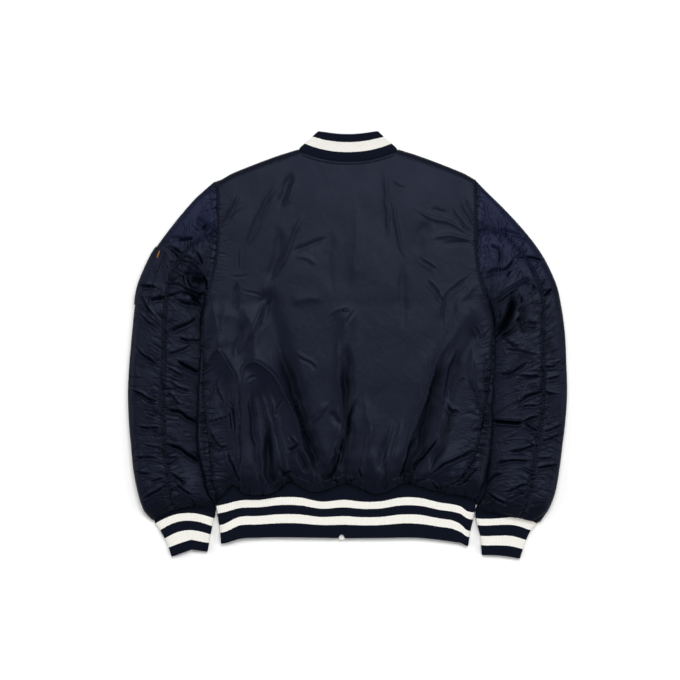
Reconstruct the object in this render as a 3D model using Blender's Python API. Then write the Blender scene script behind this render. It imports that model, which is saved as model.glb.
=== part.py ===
"""Bomber jacket laid flat with its back upwards: sewn panels, knitted ribs and a zip.

X runs across the jacket, +Y towards the collar and +Z up from the surface it lies on.
The tables are in millimetres and the meshes in metres. Left and right are the viewer's,
looking down on the back. Each cloth panel is a wall between an outer grid of points and
an inner one, both worked out from the same rows, so panels meet in a seam gap.
"""

from collections import namedtuple

import bmesh
import bpy
import numpy as np

MM = 0.001

# ---------------------------------------------------------------- driving sizes, in mm
CLOTH = 3.0                # wall of the padded nylon
RIB_WALL = 3.0             # wall of the hem and cuff rib
COLLAR_WALL = 4.0          # wall of the doubled collar rib
SEAM_GAP = 0.3             # left between two panels where they are sewn

SHOULDER_Y = 276.0         # shoulder points, the top row of the body
UNDERARM_Y = 68.0          # where the armholes end and the side folds start
HEM_Y = -273.0             # sides of the hem seam, the last row of the body
HEM_MIDDLE_RISE = 17.0     # the hem seam's middle lies this much higher than its sides
HEM_HALF_WIDTH = 224.0

NECK_HALF_WIDTH = 86.0
NECK_X = 1.0               # middle of the neck
NECK_POINT_Y = 331.0
BACK_NECK_Y = 311.5
FRONT_NECK_Y = 236.0

SIDE_RUN_TOP = 22.0        # width of the rounding at the side folds, upper half
SIDE_RUN_UNDER = 36.0      # and lower half, which lies over the sleeve's edge
SHOULDER_RUN = 16.0        # width of the rounding at the shoulder folds

SLEEVE_RUN_OUTER = 15.0    # rounding at a sleeve's outer fold
SLEEVE_RUN_INNER = 60.0    # long taper of a sleeve's top towards the body
SLEEVE_RUN_FOOT = 8.0      # rounding under a sleeve's inner fold

HEM_RIB_LOFT = 14.0        # height of the flattened hem rib
HEM_RIB_FOLD = 7.0         # height at which its sides fold
HEM_RIB_RUN = 9.0
HEM_RIB_BOTTOM_MIDDLE = -329.5
HEM_RIB_BOTTOM_SIDE = -340.5
HEM_SEAM_GAP = 0.7         # wider than the others, because the seam is steep at the sides

CUFF_LOFT = 12.0
CUFF_FOLD = 6.0
CUFF_RUN = 8.0

COLLAR_RUN = 13.0
COLLAR_TOP_HALF_WIDTH = 50.5
COLLAR_TOP_SIDE_Y = 363.5
COLLAR_TOP_BACK_Y = 359.5
COLLAR_TOP_FRONT_Y = 292.0
COLLAR_TOP_LOFT = 12.0
COLLAR_TOP_FOLD = 6.0

ZIP_X = -10.0              # centre line of the zip
FRONT_EDGE = 6.5           # each front stops this far from the zip's centre line
ZIP_LIFT = 3.6             # the front edges stand this far off the surface
ZIP_LIFT_WIDTH = 16.0
TAPE_WIDTH = 12.0
TAPE_THICKNESS = 0.8
TEETH_WIDTH = 2.4
TEETH_HEIGHT = 2.4
ZIP_MID_Z = 7.3            # middle of the zip's tape and teeth
ZIP_BOTTOM_Y = -332.0
ZIP_TOP_Y = 232.0
BOX_LENGTH = 9.5
BOX_WIDTH = 9.0
BOX_HEIGHT = 3.6
SLIDER_LENGTH = 11.0
SLIDER_WIDTH = 9.0
SLIDER_PLATE = 1.2
SLIDER_GAP = 3.0
TAB_LENGTH = 27.0
TAB_WIDTH = 6.0
TAB_THICKNESS = 1.2
TAB_EYE_RADIUS = 1.8
TAB_HOLE_RADIUS = 1.0
PIN_RADIUS = 0.7
EYE_WIDTH = 4.2
LUG_WIDTH = 1.2
LUG_LENGTH = 3.2
LUG_DROP = 1.3             # how far the lugs reach below the pin's axis
TAB_NECK = 4.0             # from the pin's axis to where the tab widens
JOIN = 0.5                 # overlap of solids that are united

POCKET_GAP = 0.3
POCKET_THICKNESS = 2.0
POCKET_START = 3.7         # stations of the left sleeve between which the pocket lies
POCKET_END = 6.7
POCKET_REACH_ON_BACK = 0.52
PULL_LENGTH = 16.0
PULL_WIDTH = 3.0
PULL_THICKNESS = 1.0
PULL_MIDDLE = (-319.0, 151.0)
PULL_TURN = -15.0          # degrees from +Y

# ------------------------------------------------------------------------------ tables
# One row of the body across both sides. left and right are its edges; left_seam and
# right_seam are how far in from them the side seams lie on the back; loft is the
# height of the back above the surface and fold the height of the side folds.
BodyRow = namedtuple("BodyRow", "y left right left_seam right_seam loft fold")
BODY_ROWS = [
    BodyRow(276, -227.0, 217.0, 0, 0, 17, 9.0),
    BodyRow(262, -223.0, 219.0, 0, 0, 17, 9.0),
    BodyRow(230, -222.0, 220.0, 0, 0, 18, 9.0),
    BodyRow(182, -221.5, 219.0, 0, 0, 19, 9.0),
    BodyRow(140, -226.0, 222.0, 0, 0, 20, 9.0),
    BodyRow(104, -234.0, 229.0, 0, 0, 21, 8.5),
    BodyRow(82, -240.0, 236.0, 0, 0, 21, 8.0),
    BodyRow(68, -244.0, 243.0, 0, 0, 21, 8.0),
    BodyRow(52, -248.0, 247.5, 1, 1, 22, 10.0),
    BodyRow(35, -250.0, 250.5, 2, 2, 22, 13.0),
    BodyRow(5, -250.0, 250.5, 3, 4, 22, 16.0),
    BodyRow(-30, -250.0, 250.5, 5, 6, 23, 16.0),
    BodyRow(-85, -253.5, 247.0, 8, 10, 24, 16.0),
    BodyRow(-130, -254.5, 245.0, 15, 16, 25, 16.0),
    BodyRow(-175, -254.0, 243.5, 20, 23, 27, 16.0),
    BodyRow(-215, -247.0, 238.0, 16, 34, 31, 16.0),
    BodyRow(-243, -240.5, 235.0, 12, 50, 33, 15.0),
    BodyRow(-260, -233.0, 229.5, 9, 58, 29, 12.0),
    BodyRow(-273, -225.5, 221.0, 7, 60, 15, 7.5),
]

# Outline of the shoulders, from the end of each shoulder to its neck point.
ShoulderPoint = namedtuple("ShoulderPoint", "across y")
SHOULDER_LINE = [
    ShoulderPoint(86, 331.0),
    ShoulderPoint(121, 320.0),
    ShoulderPoint(147, 310.5),
    ShoulderPoint(174, 300.0),
    ShoulderPoint(199, 289.5),
    ShoulderPoint(217, 279.5),
    ShoulderPoint(227, 276.0),
]

# Rows of the body's mesh and where its columns stand, as shares and as distances. The
# rows beside the armholes are the sleeves' own columns, so that the two meet.
ROWS_BELOW_UNDERARM = [56, 38, 12, -22, -58, -94, -130, -166, -200, -230, -252, -265, -273]
BACK_MARGINS = [0, 4, 13, 30]
BACK_SHOULDER_STEPS = [0.26, 0.52, 0.77]
BACK_NECK_STEPS = [-1.0, -0.8, -0.56, -0.3, 0.0, 0.3, 0.56, 0.8, 1.0]
FRONT_NECK_STEPS = [1.0, 0.72, 0.46, 0.24, 0.09, 0.0]
FRONT_SHOULDER_STEPS = [0.55]
# Columns near the front's outer edge: at the armhole, and below it, where they pass
# round the side fold (negative: on the back, as a share of the way to the side seam).
FRONT_MARGIN_ARMHOLE = [38, 24, 14, 8, 4, 2, 0]
FRONT_MARGIN_SIDE = [36, 22, 10, 2.5, 0, -0.4, -1.0]

# Large folds of the back, each a ridge (height above 0) or a trough along a path.
Fold = namedtuple("Fold", "name height width path")
BACK_FOLDS = [
    Fold("outer left arch", 4.0, 17, [(-217, -10), (-184, -64), (-186, -240)]),
    Fold("inner left arch", 4.5, 17, [(-154, -26), (-118, -57), (-88, -106), (-66, -160), (-46, -236)]),
    Fold("left valley", -4.0, 16, [(-137, 72), (-96, -62), (-62, -165), (-34, -236)]),
    Fold("hollow of the left arch", -3.5, 20, [(-150, -92), (-136, -160), (-132, -232)]),
    Fold("middle ridge", 3.0, 15, [(0, 44), (-8, -66), (-4, -140), (-22, -236)]),
    Fold("middle valley", -3.0, 14, [(24, -60), (14, -140), (4, -232)]),
    Fold("right arch", 4.5, 17, [(200, 50), (154, -32), (132, -98), (88, -181), (58, -236)]),
    Fold("right trough", -4.5, 16, [(212, 10), (176, -60), (152, -120), (112, -232)]),
    Fold("lower right ridge", 3.5, 13, [(214, -172), (150, -206), (116, -238)]),
]

# One station of a sleeve, a line across it from the outer fold to the inner one.
# loft is its height, foot the height of the inner fold, seam how far across the back
# seam lies, bow how far the station's middle bends towards the shoulder, and lift how
# far its underside is held off the surface.
Station = namedtuple("Station", "outer_x outer_y inner_x inner_y loft foot seam bow lift")
LEFT_SLEEVE = [
    Station(-227.0, 276, -244.0, 68, 17, 8.0, 0.45, 0, 0),
    Station(-257.0, 249, -248.4, 59, 19, 5.5, 0.37, 0, 0),
    Station(-284.0, 218, -250.4, 50, 20, 4.2, 0.33, 0, 0.5),
    Station(-308.5, 187, -251.4, 40, 20, 3.6, 0.31, 0, 2.3),
    Station(-329.5, 157, -250.4, 28, 20, 3.3, 0.30, 0, 2.3),
    Station(-345.0, 126, -247.6, 15, 20, 3.2, 0.30, 0, 2.3),
    Station(-356.5, 95, -246.0, 0, 20, 3.2, 0.33, 0, 2.3),
    Station(-362.5, 55, -245.0, -18, 20, 3.2, 0.39, 0, 2.3),
    Station(-366.5, 14, -245.0, -43, 20, 3.2, 0.43, 0, 0.6),
    Station(-370.5, -30, -246.5, -74, 20, 3.2, 0.45, 0, 0),
    Station(-373.0, -80, -248.5, -110, 21, 3.2, 0.45, 0, 0),
    Station(-371.5, -130, -249.5, -149, 21, 3.2, 0.46, 0, 0),
    Station(-368.0, -171, -247.5, -183, 22, 3.2, 0.46, 0, 0),
    Station(-364.0, -211, -242.5, -214, 23, 3.2, 0.46, 2, 0),
    Station(-356.5, -250, -236.8, -243, 25, 4.0, 0.43, 5, 0),
    Station(-347.0, -280, -234.0, -264, 23, 5.5, 0.40, 9, 0),
    Station(-331.0, -300, -227.0, -280, 12, 6.0, 0.37, 12, 0),
]
RIGHT_SLEEVE = [
    Station(217.0, 276, 243.0, 68, 17, 8.0, 0.45, 0, 0),
    Station(246.5, 249, 248.0, 59, 19, 5.5, 0.30, 0, 0),
    Station(277.0, 218, 250.6, 50, 20, 4.2, 0.22, 0, 0),
    Station(304.5, 187, 252.0, 40, 20, 3.6, 0.20, 0, 0),
    Station(327.0, 157, 251.4, 28, 20, 3.3, 0.20, 0, 0),
    Station(344.0, 126, 248.6, 15, 20, 3.2, 0.20, 0, 0),
    Station(356.5, 95, 246.0, 0, 20, 3.2, 0.22, 0, 0),
    Station(364.5, 55, 244.4, -18, 20, 3.2, 0.26, 0, 0),
    Station(369.5, 14, 243.0, -43, 20, 3.2, 0.29, 0, 0),
    Station(371.5, -30, 240.4, -74, 20, 3.2, 0.29, 0, 0),
    Station(373.0, -80, 238.6, -110, 21, 3.2, 0.30, 0, 0),
    Station(370.0, -130, 237.4, -149, 21, 3.2, 0.31, 0, 0),
    Station(365.0, -171, 236.4, -183, 22, 3.2, 0.32, 0, 0),
    Station(360.0, -211, 234.4, -214, 23, 3.2, 0.35, 0, 0),
    Station(353.0, -250, 232.0, -243, 25, 4.0, 0.36, 1, 0),
    Station(341.5, -280, 232.6, -264, 23, 5.5, 0.34, 1, 0),
    Station(326.0, -303, 222.5, -281, 12, 6.0, 0.30, 1, 0),
]
OUTER_SHARES = [0.0, 0.035, 0.11, 0.26, 0.58, 1.0]
UNDER_SHARES = [0.0, 0.26, 0.52, 0.74, 0.89, 0.97, 1.0]
LEFT_SLEEVE_FOLDS = [
    Fold("underarm pocket", -6.0, 9, [(-266, 96), (-280, 72)]),
    Fold("elbow crease", -3.0, 10, [(-268, -18), (-300, -40)]),
    Fold("lower crease", -3.0, 10, [(-262, -112), (-306, -140)]),
    Fold("above the cuff", -3.0, 9, [(-256, -172), (-312, -196)]),
]
RIGHT_SLEEVE_FOLDS = [
    Fold("underarm pocket", -6.0, 9, [(262, 88), (272, 44)]),
    Fold("elbow crease", -3.0, 10, [(256, -132), (298, -130)]),
    Fold("lower crease", -3.0, 10, [(262, -196), (306, -180)]),
]

# One row of a cuff, from its seam down to its open end.
CuffRow = namedtuple("CuffRow", "outer_x outer_y inner_x inner_y bow")
LEFT_CUFF = [
    CuffRow(-330.5, -300.6, -227.0, -280.6, 12.0),
    CuffRow(-319.0, -317.0, -229.5, -305.5, 13.0),
    CuffRow(-307.5, -338.0, -233.5, -328.0, 10.0),
    CuffRow(-299.5, -361.5, -237.5, -353.0, 8.0),
]
RIGHT_CUFF = [
    CuffRow(325.5, -303.6, 222.5, -281.6, 1.0),
    CuffRow(310.0, -320.0, 220.5, -300.0, 2.0),
    CuffRow(301.5, -341.0, 225.5, -327.0, 2.5),
    CuffRow(294.0, -363.5, 228.5, -357.5, 2.5),
]
CUFF_SHARES = [0.0, 0.02, 0.07, 0.2, 0.4, 0.6, 0.8, 0.93, 0.98, 1.0]

# Sides of the hem rib, from its seam down to its edge.
HemRow = namedtuple("HemRow", "drop left right")
HEM_ROWS = [
    HemRow(0.0, -225.0, 220.5),
    HemRow(0.33, -222.4, 212.5),
    HemRow(0.66, -219.0, 208.5),
    HemRow(1.0, -215.7, 204.5),
]
HEM_SHARES = [0.02, 0.06, 0.13, 0.22, 0.31, 0.4, 0.5, 0.6, 0.69, 0.78, 0.87, 0.94, 0.98]
HEM_FRONT_SHARES = [1.0, 0.88, 0.6, 0.3, 0.12, 0.035, 0.0]

COLLAR_DROPS = [0.0, 0.35, 0.7, 1.0]
COLLAR_SHARES = [-1.0, -0.97, -0.9, -0.8, -0.56, -0.3, 0.0, 0.3, 0.56, 0.8, 0.9, 0.97, 1.0]

# ------------------------------------------------------------------- colours and looks
Finish = namedtuple("Finish", "colour roughness metallic")
NYLON = Finish((0.016, 0.018, 0.030), 0.42, 0.0)
SLEEVE_NYLON = Finish((0.014, 0.015, 0.032), 0.42, 0.0)
RIB_KNIT = Finish((0.009, 0.011, 0.018), 0.9, 0.0)
ZIP_TAPE = Finish((0.008, 0.009, 0.015), 0.8, 0.0)
ZIP_METAL = Finish((0.62, 0.62, 0.60), 0.3, 1.0)
ORANGE = Finish((0.55, 0.20, 0.02), 0.6, 0.0)


def clear_scene():
    for item in list(bpy.data.objects):
        bpy.data.objects.remove(item, do_unlink=True)


def new_collection(name):
    collection = bpy.data.collections.new(name)
    bpy.context.scene.collection.children.link(collection)
    return collection


def dress(item, finish):
    """Give an object its own Principled material."""
    material = bpy.data.materials.new(item.name)
    material.use_nodes = True
    shader = material.node_tree.nodes["Principled BSDF"]
    shader.inputs["Base Color"].default_value = (*finish.colour, 1.0)
    shader.inputs["Roughness"].default_value = finish.roughness
    shader.inputs["Metallic"].default_value = finish.metallic
    item.data.materials.append(material)


def object_from_bmesh(name, shape, finish, collection):
    mesh = bpy.data.meshes.new(name)
    shape.to_mesh(mesh)
    shape.free()
    item = bpy.data.objects.new(name, mesh)
    collection.objects.link(item)
    dress(item, finish)
    return item


# ------------------------------------------------------------------- curves and tables
def smooth(knots, values, at):
    """Cubic through the table's points, its slopes taken from their neighbours."""
    knots = np.asarray(knots, float)
    values = np.asarray(values, float)
    if knots[0] > knots[-1]:
        knots, values = knots[::-1], values[::-1]
    at = np.clip(np.asarray(at, float), knots[0], knots[-1])
    slopes = np.gradient(values, knots)
    i = np.clip(np.searchsorted(knots, at) - 1, 0, len(knots) - 2)
    span = knots[i + 1] - knots[i]
    t = (at - knots[i]) / span
    return ((1 + 2 * t) * (1 - t) ** 2 * values[i] + t * (1 - t) ** 2 * span * slopes[i]
            + t ** 2 * (3 - 2 * t) * values[i + 1] + t ** 2 * (t - 1) * span * slopes[i + 1])


def body_value(name, y):
    return smooth([row.y for row in BODY_ROWS], [getattr(row, name) for row in BODY_ROWS], y)


def rounding(distance, run):
    """Quarter-ellipse rise from 0 on a folded edge to 1 one run inside it."""
    share = np.clip(np.asarray(distance, float) / run, 0, 1)
    return np.sqrt(1 - (1 - share) ** 2)


def inward(distance, run, wall):
    """How far the inner face of a fold stands in from the outer one."""
    return wall * np.clip(1 - distance / run, 0, 1)


def fold_height(folds, x, y):
    """Sum of the folds at a place: each is a soft bell across its path."""
    total = np.zeros(np.broadcast(x, y).shape)
    for fold in folds:
        nearest = np.full(total.shape, np.inf)
        for (ax, ay), (bx, by) in zip(fold.path[:-1], fold.path[1:]):
            length_squared = (bx - ax) ** 2 + (by - ay) ** 2
            share = np.clip(((x - ax) * (bx - ax) + (y - ay) * (by - ay)) / length_squared, 0, 1)
            gap = np.hypot(x - ax - share * (bx - ax), y - ay - share * (by - ay))
            nearest = np.minimum(nearest, gap)
        total += fold.height * np.exp(-(nearest / fold.width) ** 2)
    return total


def zip_lift(x):
    """The fronts' edges stand off the surface over the zip."""
    share = np.clip((np.abs(x - ZIP_X) - FRONT_EDGE) / ZIP_LIFT_WIDTH, 0, 1)
    return ZIP_LIFT * (1 - share * share * (3 - 2 * share))


# -------------------------------------------------------------------- walls from grids
def drawn_in(outer, inner, sides):
    """Both grids with the named border rows and columns moved half a seam gap inwards."""
    moved = []
    for grid in (outer, inner):
        grid = grid.copy()
        for side in sides:
            edge, beside = {
                "top": (grid[0], grid[1]),
                "bottom": (grid[-1], grid[-2]),
                "first": (grid[:, 0], grid[:, 1]),
                "last": (grid[:, -1], grid[:, -2]),
            }[side]
            step = beside - edge
            edge += step / np.linalg.norm(step, axis=-1, keepdims=True) * SEAM_GAP / 2
        moved.append(grid)
    return moved


def wall(name, outer, inner, finish, collection):
    """Closed wall between an outer and an inner grid of points, given in millimetres."""
    rows, columns = outer.shape[:2]
    shape = bmesh.new()
    sheets = []
    for grid in (outer, inner):
        sheets.append([[shape.verts.new(point * MM) for point in row] for row in grid])
    outside, inside = sheets
    for i in range(rows - 1):
        for j in range(columns - 1):
            corners = [(i, j), (i + 1, j), (i + 1, j + 1), (i, j + 1)]
            shape.faces.new([outside[a][b] for a, b in corners])
            shape.faces.new([inside[a][b] for a, b in reversed(corners)])
    border = [(i, 0) for i in range(rows)]
    border += [(rows - 1, j) for j in range(1, columns)]
    border += [(i, columns - 1) for i in range(rows - 2, -1, -1)]
    border += [(0, j) for j in range(columns - 2, 0, -1)]
    for (a, b), (c, d) in zip(border, border[1:] + border[:1]):
        shape.faces.new([outside[a][b], inside[a][b], inside[c][d], outside[c][d]])
    bmesh.ops.triangulate(shape, faces=shape.faces[:])
    bmesh.ops.recalc_face_normals(shape, faces=shape.faces[:])
    return object_from_bmesh(name, shape, finish, collection)


# -------------------------------------------------------------------------- the body
def body_y(x, row_y, front):
    """Where a row runs: it follows the shoulders and neck at the top, the hem below."""
    across = np.abs(x - NECK_X)
    points = SHOULDER_LINE
    line = smooth([p.across for p in points], [p.y for p in points], np.clip(across, 86, 227))
    share = np.clip(across / NECK_HALF_WIDTH, 0, 1)
    if front:
        neck = FRONT_NECK_Y + (NECK_POINT_Y - FRONT_NECK_Y) * share ** 1.7
    else:
        neck = BACK_NECK_Y + (NECK_POINT_Y - BACK_NECK_Y) * share ** 2.2
    top = np.where(across < NECK_HALF_WIDTH, neck, line)
    hem = HEM_Y + HEM_MIDDLE_RISE * (1 - np.clip(np.abs(x) / HEM_HALF_WIDTH, 0, 1) ** 3)
    top_share = np.clip((row_y - UNDERARM_Y) / (SHOULDER_Y - UNDERARM_Y), 0, 1) ** 1.5
    hem_share = np.clip((-60 - row_y) / (-60 - HEM_Y), 0, 1) ** 1.5
    return row_y + (top - SHOULDER_Y) * top_share + (hem - HEM_Y) * hem_share


def shoulder_distance(x, y):
    """Distance to the shoulder fold, which ends at the neck point."""
    across = np.abs(x - NECK_X)
    points = SHOULDER_LINE
    line = smooth([p.across for p in points], [p.y for p in points], np.clip(across, 86, 227))
    return np.hypot(np.clip(NECK_HALF_WIDTH - across, 0, None), 0.94 * np.clip(line - y, 0, None))


def body_points(row_y, from_left, from_right, on_back, front):
    """Outer and inner points of the body, at distances from its left or right edge.

    Exactly one of the distances is None. on_back says which points lie on the upper
    face; front picks the front's neckline.
    """
    left = body_value("left", row_y)
    right = body_value("right", row_y)
    x = left + from_left if from_right is None else right - from_right
    y = body_y(x, row_y, front)
    side = np.minimum(x - left, right - x)
    side = np.hypot(side, np.clip(row_y - UNDERARM_Y, 0, None))
    run = np.where(on_back, SIDE_RUN_TOP, SIDE_RUN_UNDER)
    shoulder = shoulder_distance(x, y)
    rise = rounding(side, run) * rounding(shoulder, SHOULDER_RUN)
    fold = body_value("fold", row_y)
    back = body_value("loft", row_y) + fold_height(BACK_FOLDS, x, y)
    outer_z = fold + (np.where(on_back, back, zip_lift(x)) - fold) * rise
    inner_face = np.where(on_back, back - CLOTH, zip_lift(x) + CLOTH)
    inner_z = fold + (inner_face - fold) * rise
    towards_middle = np.where(x < (left + right) / 2, 1.0, -1.0)
    below_armhole = row_y <= UNDERARM_Y
    inner_x = x + towards_middle * inward(side, run, CLOTH) * below_armhole
    inner_y = y - inward(shoulder, SHOULDER_RUN, CLOTH)
    return np.stack([x, y, outer_z], -1), np.stack([inner_x, inner_y, inner_z], -1)


def body_rows():
    """Rows of the body's mesh, from the shoulders to the hem."""
    seam = LEFT_SLEEVE[0].seam
    shares = [seam * share for share in OUTER_SHARES]
    shares += [seam + (1 - seam) * share for share in UNDER_SHARES[1:]]
    beside_armhole = [SHOULDER_Y + (UNDERARM_Y - SHOULDER_Y) * share for share in shares]
    return np.array(beside_armhole + ROWS_BELOW_UNDERARM, float)[:, None]


def back_grids():
    rows = body_rows()
    left, right = body_value("left", rows), body_value("right", rows)
    left_seam, right_seam = body_value("left_seam", rows), body_value("right_seam", rows)
    margins = np.array(BACK_MARGINS, float)[None, :]
    start, end = left_seam + margins, (right - left) - right_seam - margins[:, ::-1]
    width = end[0, 0] - start[0, -1]
    neck_left = (NECK_X - NECK_HALF_WIDTH - left[0, 0] - start[0, -1]) / width
    neck_right = (NECK_X + NECK_HALF_WIDTH - left[0, 0] - start[0, -1]) / width
    shoulder = np.array(BACK_SHOULDER_STEPS)
    neck = (neck_left + neck_right) / 2 + (neck_right - neck_left) / 2 * np.array(BACK_NECK_STEPS)
    shares = np.concatenate([neck_left * shoulder, neck, 1 - (1 - neck_right) * shoulder[::-1]])
    middle = start[:, -1:] + (end[:, :1] - start[:, -1:]) * shares[None, :]
    from_left = np.concatenate([start, middle, end], axis=1)
    return body_points(rows, from_left, None, np.full(from_left.shape, True), False)


def front_grids(is_left):
    rows = body_rows()
    left, right = body_value("left", rows), body_value("right", rows)
    reach = ZIP_X - FRONT_EDGE - left if is_left else right - ZIP_X - FRONT_EDGE
    seam = body_value("left_seam" if is_left else "right_seam", rows)
    neck_side = NECK_X - NECK_HALF_WIDTH - left if is_left else right - NECK_X - NECK_HALF_WIDTH
    neck = neck_side[0, 0] / reach[0, 0]
    columns = np.concatenate([neck + (1 - neck) * np.array(FRONT_NECK_STEPS),
                              neck * np.array(FRONT_SHOULDER_STEPS)])
    shares = reach * columns[None, :]
    side_part = np.clip((UNDERARM_Y - rows) / 40, 0, 1)
    margin_side = np.array(FRONT_MARGIN_SIDE, float)[None, :]
    margin_side = np.where(margin_side < 0, margin_side * seam, margin_side)
    margin_armhole = np.array(FRONT_MARGIN_ARMHOLE, float)[None, :]
    path = np.concatenate([shares, margin_armhole * (1 - side_part) + margin_side * side_part], axis=1)
    distance = np.abs(path)
    from_left, from_right = (distance, None) if is_left else (None, distance)
    return body_points(rows, from_left, from_right, path < 0, True)


def make_body(collection):
    outer, inner = drawn_in(*back_grids(), ("top", "bottom", "first", "last"))
    wall("back", outer, inner, NYLON, collection)
    for side, is_left in (("left", True), ("right", False)):
        outer, inner = drawn_in(*front_grids(is_left), ("top", "bottom", "last"))
        wall(f"front_{side}", outer, inner, NYLON, collection)


# ---------------------------------------------------------------------------- sleeves
def armhole_points(is_left, share, on_back):
    """The armhole's own outer and inner points, from the shoulder to the underarm."""
    row_y = SHOULDER_Y + (UNDERARM_Y - SHOULDER_Y) * share
    zero = np.zeros(share.shape)
    from_left, from_right = (zero, None) if is_left else (None, zero)
    return body_points(row_y, from_left, from_right, on_back, True)


def sleeve_points(stations, folds, share, on_back):
    """Outer and inner points across every station at the given shares of its width."""
    is_left = stations[0].outer_x < 0
    col = {name: np.array([getattr(s, name) for s in stations], float)[:, None]
           for name in Station._fields}
    run_x, run_y = col["inner_x"] - col["outer_x"], col["inner_y"] - col["outer_y"]
    width = np.hypot(run_x, run_y)
    x = col["outer_x"] + run_x * share
    y = col["outer_y"] + run_y * share + col["bow"] * 4 * share * (1 - share)
    from_outer, from_inner = share * width, (1 - share) * width
    inner_run = np.where(on_back, SLEEVE_RUN_INNER, SLEEVE_RUN_FOOT)
    rise = rounding(from_outer, SLEEVE_RUN_OUTER) * rounding(from_inner, inner_run)
    base = col["loft"] / 2 * (1 - share) + col["foot"] * share
    top = col["loft"] + fold_height(folds, x, y)
    outer_z = base + (np.where(on_back, top, col["lift"]) - base) * rise
    inner_face = np.where(on_back, top - CLOTH, col["lift"] + CLOTH)
    inner_z = base + (inner_face - base) * rise
    step = inward(from_outer, SLEEVE_RUN_OUTER, CLOTH) - inward(from_inner, inner_run, CLOTH)
    inner_x, inner_y = x + run_x / width * step, y + run_y / width * step
    outer = np.stack([x, y, outer_z], -1)
    inner = np.stack([inner_x, inner_y, inner_z], -1)
    outer[0], inner[0] = armhole_points(is_left, share[0], on_back[0])
    return outer, inner


def sleeve_ring(stations, panel):
    """Shares across a sleeve and the face they lie on, along one panel's width."""
    seam = np.array([s.seam for s in stations])[:, None]
    if panel == "outer":
        shares = seam * np.array(OUTER_SHARES)[None, :]
        share = np.concatenate([shares[:, ::-1], shares[:, 1:]], axis=1)
        under_columns = len(OUTER_SHARES)
        on_back = np.arange(share.shape[1]) >= under_columns
    else:
        shares = seam + (1 - seam) * np.array(UNDER_SHARES)[None, :]
        share = np.concatenate([shares, shares[:, -2::-1]], axis=1)
        on_back = np.arange(share.shape[1]) < len(UNDER_SHARES)
    return share, np.broadcast_to(on_back, share.shape)


def make_sleeve(side, stations, folds, collection):
    for panel in ("outer", "under"):
        share, on_back = sleeve_ring(stations, panel)
        outer, inner = sleeve_points(stations, folds, share, on_back)
        outer, inner = drawn_in(outer, inner, ("top", "bottom", "first", "last"))
        wall(f"sleeve_{side}_{panel}", outer, inner, SLEEVE_NYLON, collection)


def make_sleeve_pocket(collection):
    """A patch pocket round the left sleeve's outer fold, moved out from its points."""
    stations = np.concatenate([[POCKET_START], np.arange(np.ceil(POCKET_START), POCKET_END),
                               [POCKET_END]])
    seam = np.array([s.seam for s in LEFT_SLEEVE])[:, None]
    to_seam = np.array(OUTER_SHARES)[None, :]
    past_seam = np.array(UNDER_SHARES[1:3])[None, :]
    on_under = np.concatenate([seam * to_seam, seam + (1 - seam) * past_seam], axis=1)[:, ::-1]
    on_upper = seam * np.array(OUTER_SHARES[1:4] + [POCKET_REACH_ON_BACK])[None, :]
    share = np.concatenate([on_under, on_upper], axis=1)
    columns = np.arange(share.shape[1])
    on_back = np.broadcast_to(columns >= on_under.shape[1], share.shape)
    whole, _ = sleeve_points(LEFT_SLEEVE, [], share, on_back)
    lower = np.floor(stations).astype(int)
    part_way = (stations - lower)[:, None, None]
    grid = whole[lower] * (1 - part_way) + whole[lower + 1] * part_way
    normal = np.cross(np.gradient(grid, axis=0), np.gradient(grid, axis=1))
    normal /= np.linalg.norm(normal, axis=-1, keepdims=True)
    inner = grid + normal * POCKET_GAP
    outer = grid + normal * (POCKET_GAP + POCKET_THICKNESS)
    wall("sleeve_pocket", outer, inner, SLEEVE_NYLON, collection)


# -------------------------------------------------------------------------------- ribs
def flat_ring(x, y, base, loft, lift, distance, run, thickness, on_back, towards):
    """Outer and inner points of a flattened tube, folded at its two sides."""
    rise = rounding(distance, run)
    outer_z = base + (np.where(on_back, loft, lift) - base) * rise
    inner_z = base + (np.where(on_back, loft - thickness, lift + thickness) - base) * rise
    inner_x = x + towards * inward(distance, run, thickness)
    return np.stack([x, y, outer_z], -1), np.stack([inner_x, y, inner_z], -1)


def make_hem_rib(collection):
    """The waist rib: from the zip round one side, across the back and round to the zip."""
    drop = np.array([row.drop for row in HEM_ROWS])[:, None]
    left = np.array([row.left for row in HEM_ROWS])[:, None]
    right = np.array([row.right for row in HEM_ROWS])[:, None]
    front = np.array(HEM_FRONT_SHARES)[None, :]
    back = np.array(HEM_SHARES)[None, :]
    from_left = left + (ZIP_X - FRONT_EDGE - left) * front
    from_right = right - (right - ZIP_X - FRONT_EDGE) * front
    x = np.concatenate([from_left, left + (right - left) * back, from_right[:, ::-1]], axis=1)
    across = np.clip(np.abs(x) / HEM_HALF_WIDTH, 0, 1)
    seam_y = HEM_Y - HEM_SEAM_GAP + HEM_MIDDLE_RISE * (1 - across ** 3)
    bottom_y = HEM_RIB_BOTTOM_MIDDLE + (HEM_RIB_BOTTOM_SIDE - HEM_RIB_BOTTOM_MIDDLE) * across ** 2
    y = seam_y + (bottom_y - seam_y) * drop
    columns = np.arange(x.shape[1])
    on_back = (columns >= front.size) & (columns < front.size + back.size)
    on_back = np.broadcast_to(on_back, x.shape)
    distance = np.minimum(x - left, right - x)
    towards = np.where(x < (left + right) / 2, 1.0, -1.0)
    outer, inner = flat_ring(x, y, HEM_RIB_FOLD, HEM_RIB_LOFT, zip_lift(x), distance,
                             HEM_RIB_RUN, RIB_WALL, on_back, towards)
    wall("hem_rib", outer, inner, RIB_KNIT, collection)


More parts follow.
